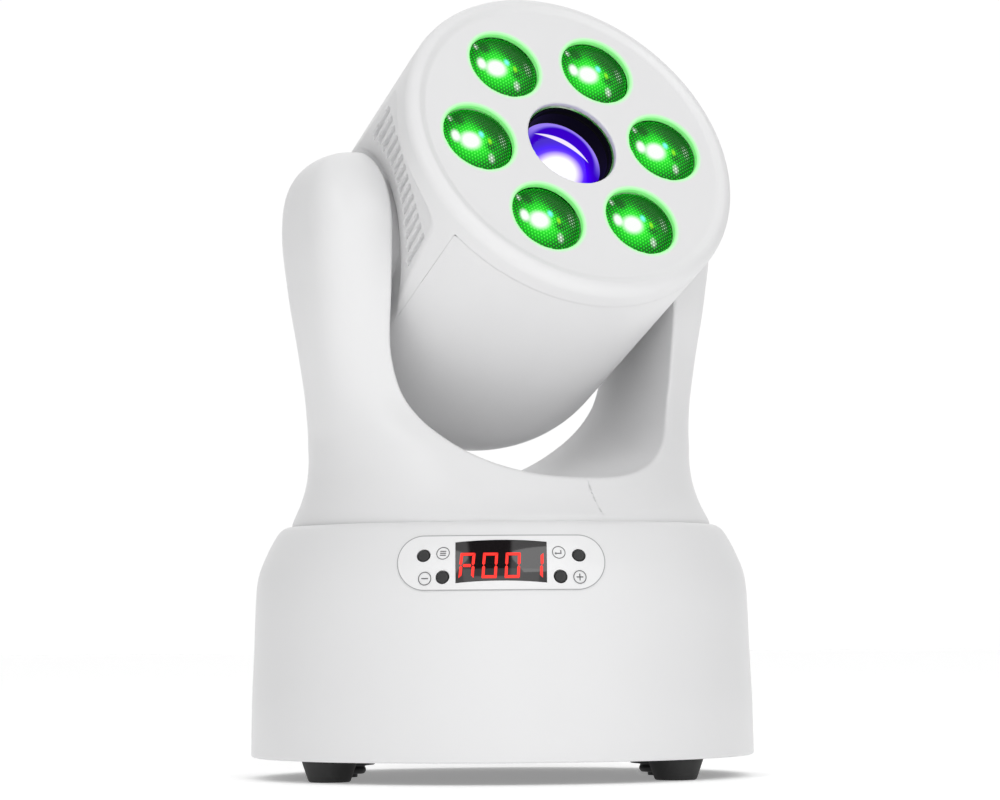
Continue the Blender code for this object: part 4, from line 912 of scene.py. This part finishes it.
def build_base():
    steps = 224
    outside = [(86.9, 7.2)] + [(r, z, 2.6) for r, z in BASE_OUTER[1:-1]] + [(74.6, 86.9, 0.5)]
    outside[1] = (87.65, 7.7, 0.5)
    well = [(WELL_R, 86.6, 0.5), (WELL_R, WELL_Z, 0.4), (TOP_HOLE_R, WELL_Z, 0.5), (TOP_HOLE_R, 82.1)]
    inside = [(72.0, 82.1), (77.6, 78.5), (80.3, 73.7), (82.4, 68.0), (83.3, 56.0), (84.6, 26.0), (84.8, 7.2)]
    casing = place("base_casing_form", turned(rounded(outside + well + inside, steps=5), steps), "base")
    whole = turned(rounded([(0.0, 7.3)] + [(86.9, 7.3)] + outside[1:] + [(0.0, 86.0)]), steps, closed=False)
    whole_obj = place("tool_whole", whole, "base", cutter=True)
    liner = place("tool_liner", box((-POCKET_X - 2, POCKET_X + 2), (PLATE_Y - 1.5, 95), (POCKET_Z[0] - 2, POCKET_Z[1] + 2)), "base", cutter=True)
    carve(liner, [whole_obj], "INTERSECT")
    carve(casing, [liner], "UNION")
    pocket = place("tool_pocket", box((-POCKET_X, POCKET_X), (60, 96), POCKET_Z, 1.2), "base", cutter=True)
    stand = Matrix(((1, 0, 0, 0), (0, 0, 1, 0), (0, 1, 0, 0), (0, 0, 0, 1)))

    def arched(grow):
        """The window's outline: its long edges arch with the shoulder."""
        xs = [(-WINDOW_X - grow) + 2 * (WINDOW_X + grow) * i / 16 for i in range(17)]
        bow = [0.75 * (x / WINDOW_X) ** 2 for x in xs]
        return ([(x, WINDOW_Z[0] + 0.2 - grow - b) for x, b in zip(xs, bow)]
                + [(x, WINDOW_Z[1] + 0.2 + grow - b) for x, b in list(zip(xs, bow))[::-1]])

    holes = [moved(prism(arched(0.05), -95, -70), stand)]
    lean = math.radians(SLOPE_DEG)
    for x, z in BUTTONS.values():
        holes.append(moved(rod(BUTTON_R + 0.3, (-9, 9), 40),
                           Matrix.Translation((x, -shoulder_y(x, z), z)) @ Matrix.Rotation(math.radians(90) - lean, 4, "X")))
    cut_holes = place("tool_holes", merged(holes), "base", cutter=True)
    keep = cut_holes.copy()
    keep.data = cut_holes.data.copy()
    bpy.context.scene.collection.objects.link(keep)
    carve(casing, [pocket, cut_holes], sharp=28.0)
    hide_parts("base_casing")
    dress(casing, "white_plastic")

    # overlay: a thin skin over the shoulder, cut to the panel's rounded outline
    count = 24
    heights = [PANEL_Z[0] - 1.5 + (PANEL_Z[1] - PANEL_Z[0] + 3.0) * i / count for i in range(count + 1)]
    smooth_r = {z: sum(base_radius(z + d) for d in (-1.2, -0.6, 0, 0.6, 1.2)) / 5 for z in heights}
    band = turned([(smooth_r[z] + 0.28, z) for z in heights] + [(smooth_r[z] + 0.06, z) for z in heights[::-1]], 360)
    overlay = place("panel_overlay_form", band, "base")
    mid, half, corner = (PANEL_Z[0] + PANEL_Z[1]) / 2, (PANEL_Z[1] - PANEL_Z[0]) / 2, 9.1
    pill = []
    for cx, cz, start in ((PANEL_X - corner, mid + half - corner, 0), (-PANEL_X + corner, mid + half - corner, 90),
                          (-PANEL_X + corner, mid - half + corner, 180), (PANEL_X - corner, mid - half + corner, 270)):
        pill += arc(corner, start, start + 90, 16, cx, cz)
    pill_tool = place("tool_pill", moved(prism(pill, -100, -60), stand), "base", cutter=True)
    carve(overlay, [pill_tool], "INTERSECT")
    carve(overlay, [keep])
    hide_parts("panel_overlay")
    dress(overlay, "overlay")

    # window: a curved glossy plate
    span = [WINDOW_Z[0] - 1.5 + (WINDOW_Z[1] - WINDOW_Z[0] + 3.0) * i / 20 for i in range(21)]
    smooth = {z: sum(base_radius(z + d) for d in (-1.6, -0.8, 0, 0.8, 1.6)) / 5 for z in span}
    pane = turned([(smooth[z] + 0.22, z) for z in span] + [(smooth[z] - 0.9, z) for z in span[::-1]], 360)
    window = place("display_window_form", pane, "base")
    carve(window, [place("tool_window", moved(prism(arched(-0.06), -95, -60), stand), "base", cutter=True)], "INTERSECT")
    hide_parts("display_window")
    dress(window, "smoked_window")

    # lit digits just under the window's outer face
    digits = []
    wide, tall, bar, gap = 4.95, 8.7, 0.92, 0.10
    shapes = {"A": "abcefg", "0": "abcdef", "1": "bc"}
    outline = {}
    w, h, t = wide / 2, tall / 2, bar
    outline["a"] = [(-w + t + gap, h - t), (w - t - gap, h - t), (w - gap, h), (-w + gap, h)]
    outline["d"] = [(x, -y) for x, y in outline["a"]][::-1]
    outline["b"] = [(w - t, t / 2 + gap), (w - t / 2, gap / 2), (w, t / 2 + gap), (w, h - gap), (w - t, h - t - gap)]
    outline["f"] = [(-x, y) for x, y in outline["b"]][::-1]
    outline["c"] = [(x, -y) for x, y in outline["b"]][::-1]
    outline["e"] = [(-x, -y) for x, y in outline["b"]]
    outline["g"] = [(-w + t + gap, 0), (-w + 1.5 * t, -t / 2), (w - 1.5 * t, -t / 2), (w - t - gap, 0), (w - 1.5 * t, t / 2), (-w + 1.5 * t, t / 2)]
    for char, cx in (("A", -11.2), ("0", -3.7), ("0", 3.8), ("1", 11.3)):
        for key in shapes[char]:
            shape = outline[key]
            mx, my = sum(p[0] for p in shape) / len(shape), sum(p[1] for p in shape) / len(shape)
            frame_here = tangent(cx + mx + 0.06 * my, 71.9 + my * 0.95, 0.0)
            digits.append(moved(prism([(a - mx + 0.06 * (b - my), b - my) for a, b in shape], 0.10, 0.36), frame_here))
    lit = place("display_digits", merged(digits), "base")
    dress(lit, "digit")

    # buttons: caps with a shallow dish
    for name, (x, z) in BUTTONS.items():
        cap = turned(rounded([(0.0, -2.0), (BUTTON_R, -2.0), (BUTTON_R, 0.35, 0.7), (1.2, 0.42), (0.0, 0.30)], steps=5), 48, closed=False)
        body = {"button_menu": "menu_button", "button_down": "down_button", "button_enter": "enter_button", "button_up": "up_button"}[name]
        matrix = Matrix.Translation((x, -shoulder_y(x, z), z)) @ Matrix.Rotation(math.radians(90) - lean, 4, "X")
        button = place(name + "_form", cap, body, matrix)
        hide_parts(name)
        dress(button, "black_plastic")

    # printed marks on the overlay: a ring and a simple sign
    for name, (x, z) in ICONS.items():
        ring = turned([(2.0, 0.0), (2.26, 0.0), (2.26, 0.05), (2.0, 0.05)], 48)
        bars = {"menu": [(-1.0, 1.0, 0.72), (-1.0, 1.0, 0.0), (-1.0, 1.0, -0.72)], "minus": [(-1.15, 1.15, 0.0)],
                "plus": [(-1.15, 1.15, 0.0)], "enter": [(-0.9, 0.9, -0.35)]}[name]
        parts = [ring] + [box((a, b), (c - 0.17, c + 0.17), (0.0, 0.05)) for a, b, c in bars]
        if name == "plus":
            parts.append(box((-0.17, 0.17), (-1.15, -0.17), (0.0, 0.05)))
            parts.append(box((-0.17, 0.17), (0.17, 1.15), (0.0, 0.05)))
        if name == "enter":
            parts.append(box((0.56, 0.9), (-0.18, 0.8), (0.0, 0.05)))
            parts.append(prism([(-1.45, -0.35), (-0.9, 0.2), (-0.9, -0.9)], 0.0, 0.05))
        mark = place("mark_" + name, merged(parts), "base", tangent(x, z, 0.30))
        dress(mark, "print_grey")

    foot = rounded([(0.0, 0.0), (FOOT_R_BOTTOM, 0.0, 0.8), (FOOT_R_TOP, FOOT_H - 0.8, 0.4), (FOOT_R_TOP, FOOT_H), (0.0, FOOT_H)], steps=5)
    for name, sx, sy in (("foot_front_left", -1, -1), ("foot_front_right", 1, -1), ("foot_rear_left", -1, 1), ("foot_rear_right", 1, 1)):
        made = place(name + "_form", turned(foot, 72, closed=False), "base", Matrix.Translation((sx * FOOT_XY[0], sy * FOOT_XY[1], 0)))
        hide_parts(name)
        dress(made, "rubber")
    lock = rounded([(0.0, 0.9), (3.6, 0.9, 0.4), (3.6, 2.1), (5.8, 2.1, 0.5), (6.7, 3.4, 0.8), (6.0, 4.8, 0.4), (9.5, 5.2, 0.3), (9.5, 8.1), (0.0, 8.1)], steps=5)
    for name, sx in (("bracket_socket_left", -1), ("bracket_socket_right", 1)):
        made = place(name + "_form", turned(lock, 64, closed=False), "base", Matrix.Translation((sx * LOCK_XY[0], LOCK_XY[1], 0)))
        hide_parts(name)
        dress(made, "black_plastic")


def carried_over():
    """Give every CAD node that still shows the finish of its slot."""
    slots = {n["name"]: n.get("material_slot") or n.get("slot") for n in frame["record"].get("nodes", [])} \
        if isinstance(frame["record"].get("nodes"), list) else {}
    for name, node in frame["nodes"].items():
        if node.hide_render:
            continue
        slot = slots.get(name)
        if slot is None:
            current = node.data.materials[0].name if node.data.materials and node.data.materials[0] else ""
            slot = current.split(".")[0]
        look = LOOKS.get(slot)
        if look is None:
            look = LOOKS["black_plastic"]
        node.data.materials.clear()
        node.data.materials.append(look)


# ---------------------------------------------------------------------- studio
def build_stage():
    bm = bmesh.new()
    bmesh.ops.create_grid(bm, x_segments=1, y_segments=1, size=8.0)
    mesh = bpy.data.meshes.new("studio_floor")
    bm.to_mesh(mesh)
    bm.free()
    floor = bpy.data.objects.new("studio_floor", mesh)
    bpy.context.scene.collection.objects.link(floor)
    look = Look("floor", (0.93, 0.93, 0.93), 0.6, Specular_IOR_Level=0.2)
    look.set("Emission Color", (1.0, 1.0, 1.0, 1.0))
    look.set("Emission Strength", 0.27)
    mesh.materials.append(look.material)

    world = bpy.data.worlds.new("studio")
    bpy.context.scene.world = world
    world.use_nodes = True
    tree = world.node_tree
    back = tree.nodes["Background"]
    back.inputs["Color"].default_value = (1.0, 1.0, 1.0, 1.0)
    # white all round for the picture; as light, a white room that is dimmer at
    # the sides, with a dark gap between the two soft boxes in front
    parts = tree.nodes.new("ShaderNodeSeparateXYZ")
    tree.links.new(tree.nodes.new("ShaderNodeTexCoord").outputs["Generated"], parts.inputs[0])
    x, y, z = (Num(tree, parts.outputs[k]) for k in range(3))
    gap = ((x + 0.075).abs().step(0.13, 0.16, invert=True) * (z - 0.62).abs().step(0.22, 0.26, invert=True)
           * y.step(-0.1, 0.0, invert=True))
    room = (1.0 - x * x) * (1.0 - gap) * 1.04
    seen = Num(tree, tree.nodes.new("ShaderNodeLightPath").outputs["Is Camera Ray"])
    tree.links.new((seen * 1.02 + (1.0 - seen) * room).value, back.inputs["Strength"])

    def area(name, at, aim, size, power):
        light = bpy.data.lights.new(name, "AREA")
        light.shape = "RECTANGLE"
        light.size, light.size_y = size
        light.energy = power
        obj = bpy.data.objects.new(name, light)
        bpy.context.scene.collection.objects.link(obj)
        obj.location = at
        obj.rotation_euler = (Vector(aim) - Vector(at)).to_track_quat("-Z", "Y").to_euler()

    area("soft_front", (0.0, -2.2, 0.9), (0, 0, 0.13), (1.4, 1.0), 2.6)
    area("soft_front_right", (1.6, -1.5, 0.8), (0, 0, 0.13), (0.7, 1.2), 1.6)
    area("box_right", (0.66, -1.45, 1.32), (0, 0, 0.1), (0.9, 0.8), 4.2)
    area("box_left", (-0.86, -1.45, 1.32), (0, 0, 0.1), (0.62, 0.8), 2.6)
    area("soft_back", (0.0, 1.3, 1.6), (0, 0, 0.1), (1.4, 0.8), 0.6)
    bpy.context.scene.view_settings.view_transform = "Standard"


def build_camera():
    """The view: level with the base, looking slightly up, with a very slight roll."""
    data = bpy.data.cameras.new("camera")
    camera = bpy.data.objects.new("camera", data)
    bpy.context.scene.collection.objects.link(camera)
    data.sensor_fit, data.sensor_width, data.lens = "HORIZONTAL", 36.0, 138.456
    data.clip_start, data.clip_end = 0.05, 50.0
    pitch, roll = math.atan(231.1 / 3846.0), math.radians(0.4)
    away = Vector((0, math.cos(pitch), math.sin(pitch)))
    up = Vector((0, -math.sin(pitch), math.cos(pitch)))
    right = Vector((1, 0, 0))
    r2 = right * math.cos(roll) - up * math.sin(roll)
    u2 = up * math.cos(roll) + right * math.sin(roll)
    camera.matrix_world = Matrix(((r2.x, u2.x, -away.x, 0.0), (r2.y, u2.y, -away.y, -1.348), (r2.z, u2.z, -away.z, 0.0504), (0, 0, 0, 1)))
    bpy.context.scene.camera = camera


build_yoke()
build_head()
build_lenses()
build_base()
carried_over()
build_stage()
build_camera()
bpy.context.view_layer.update()
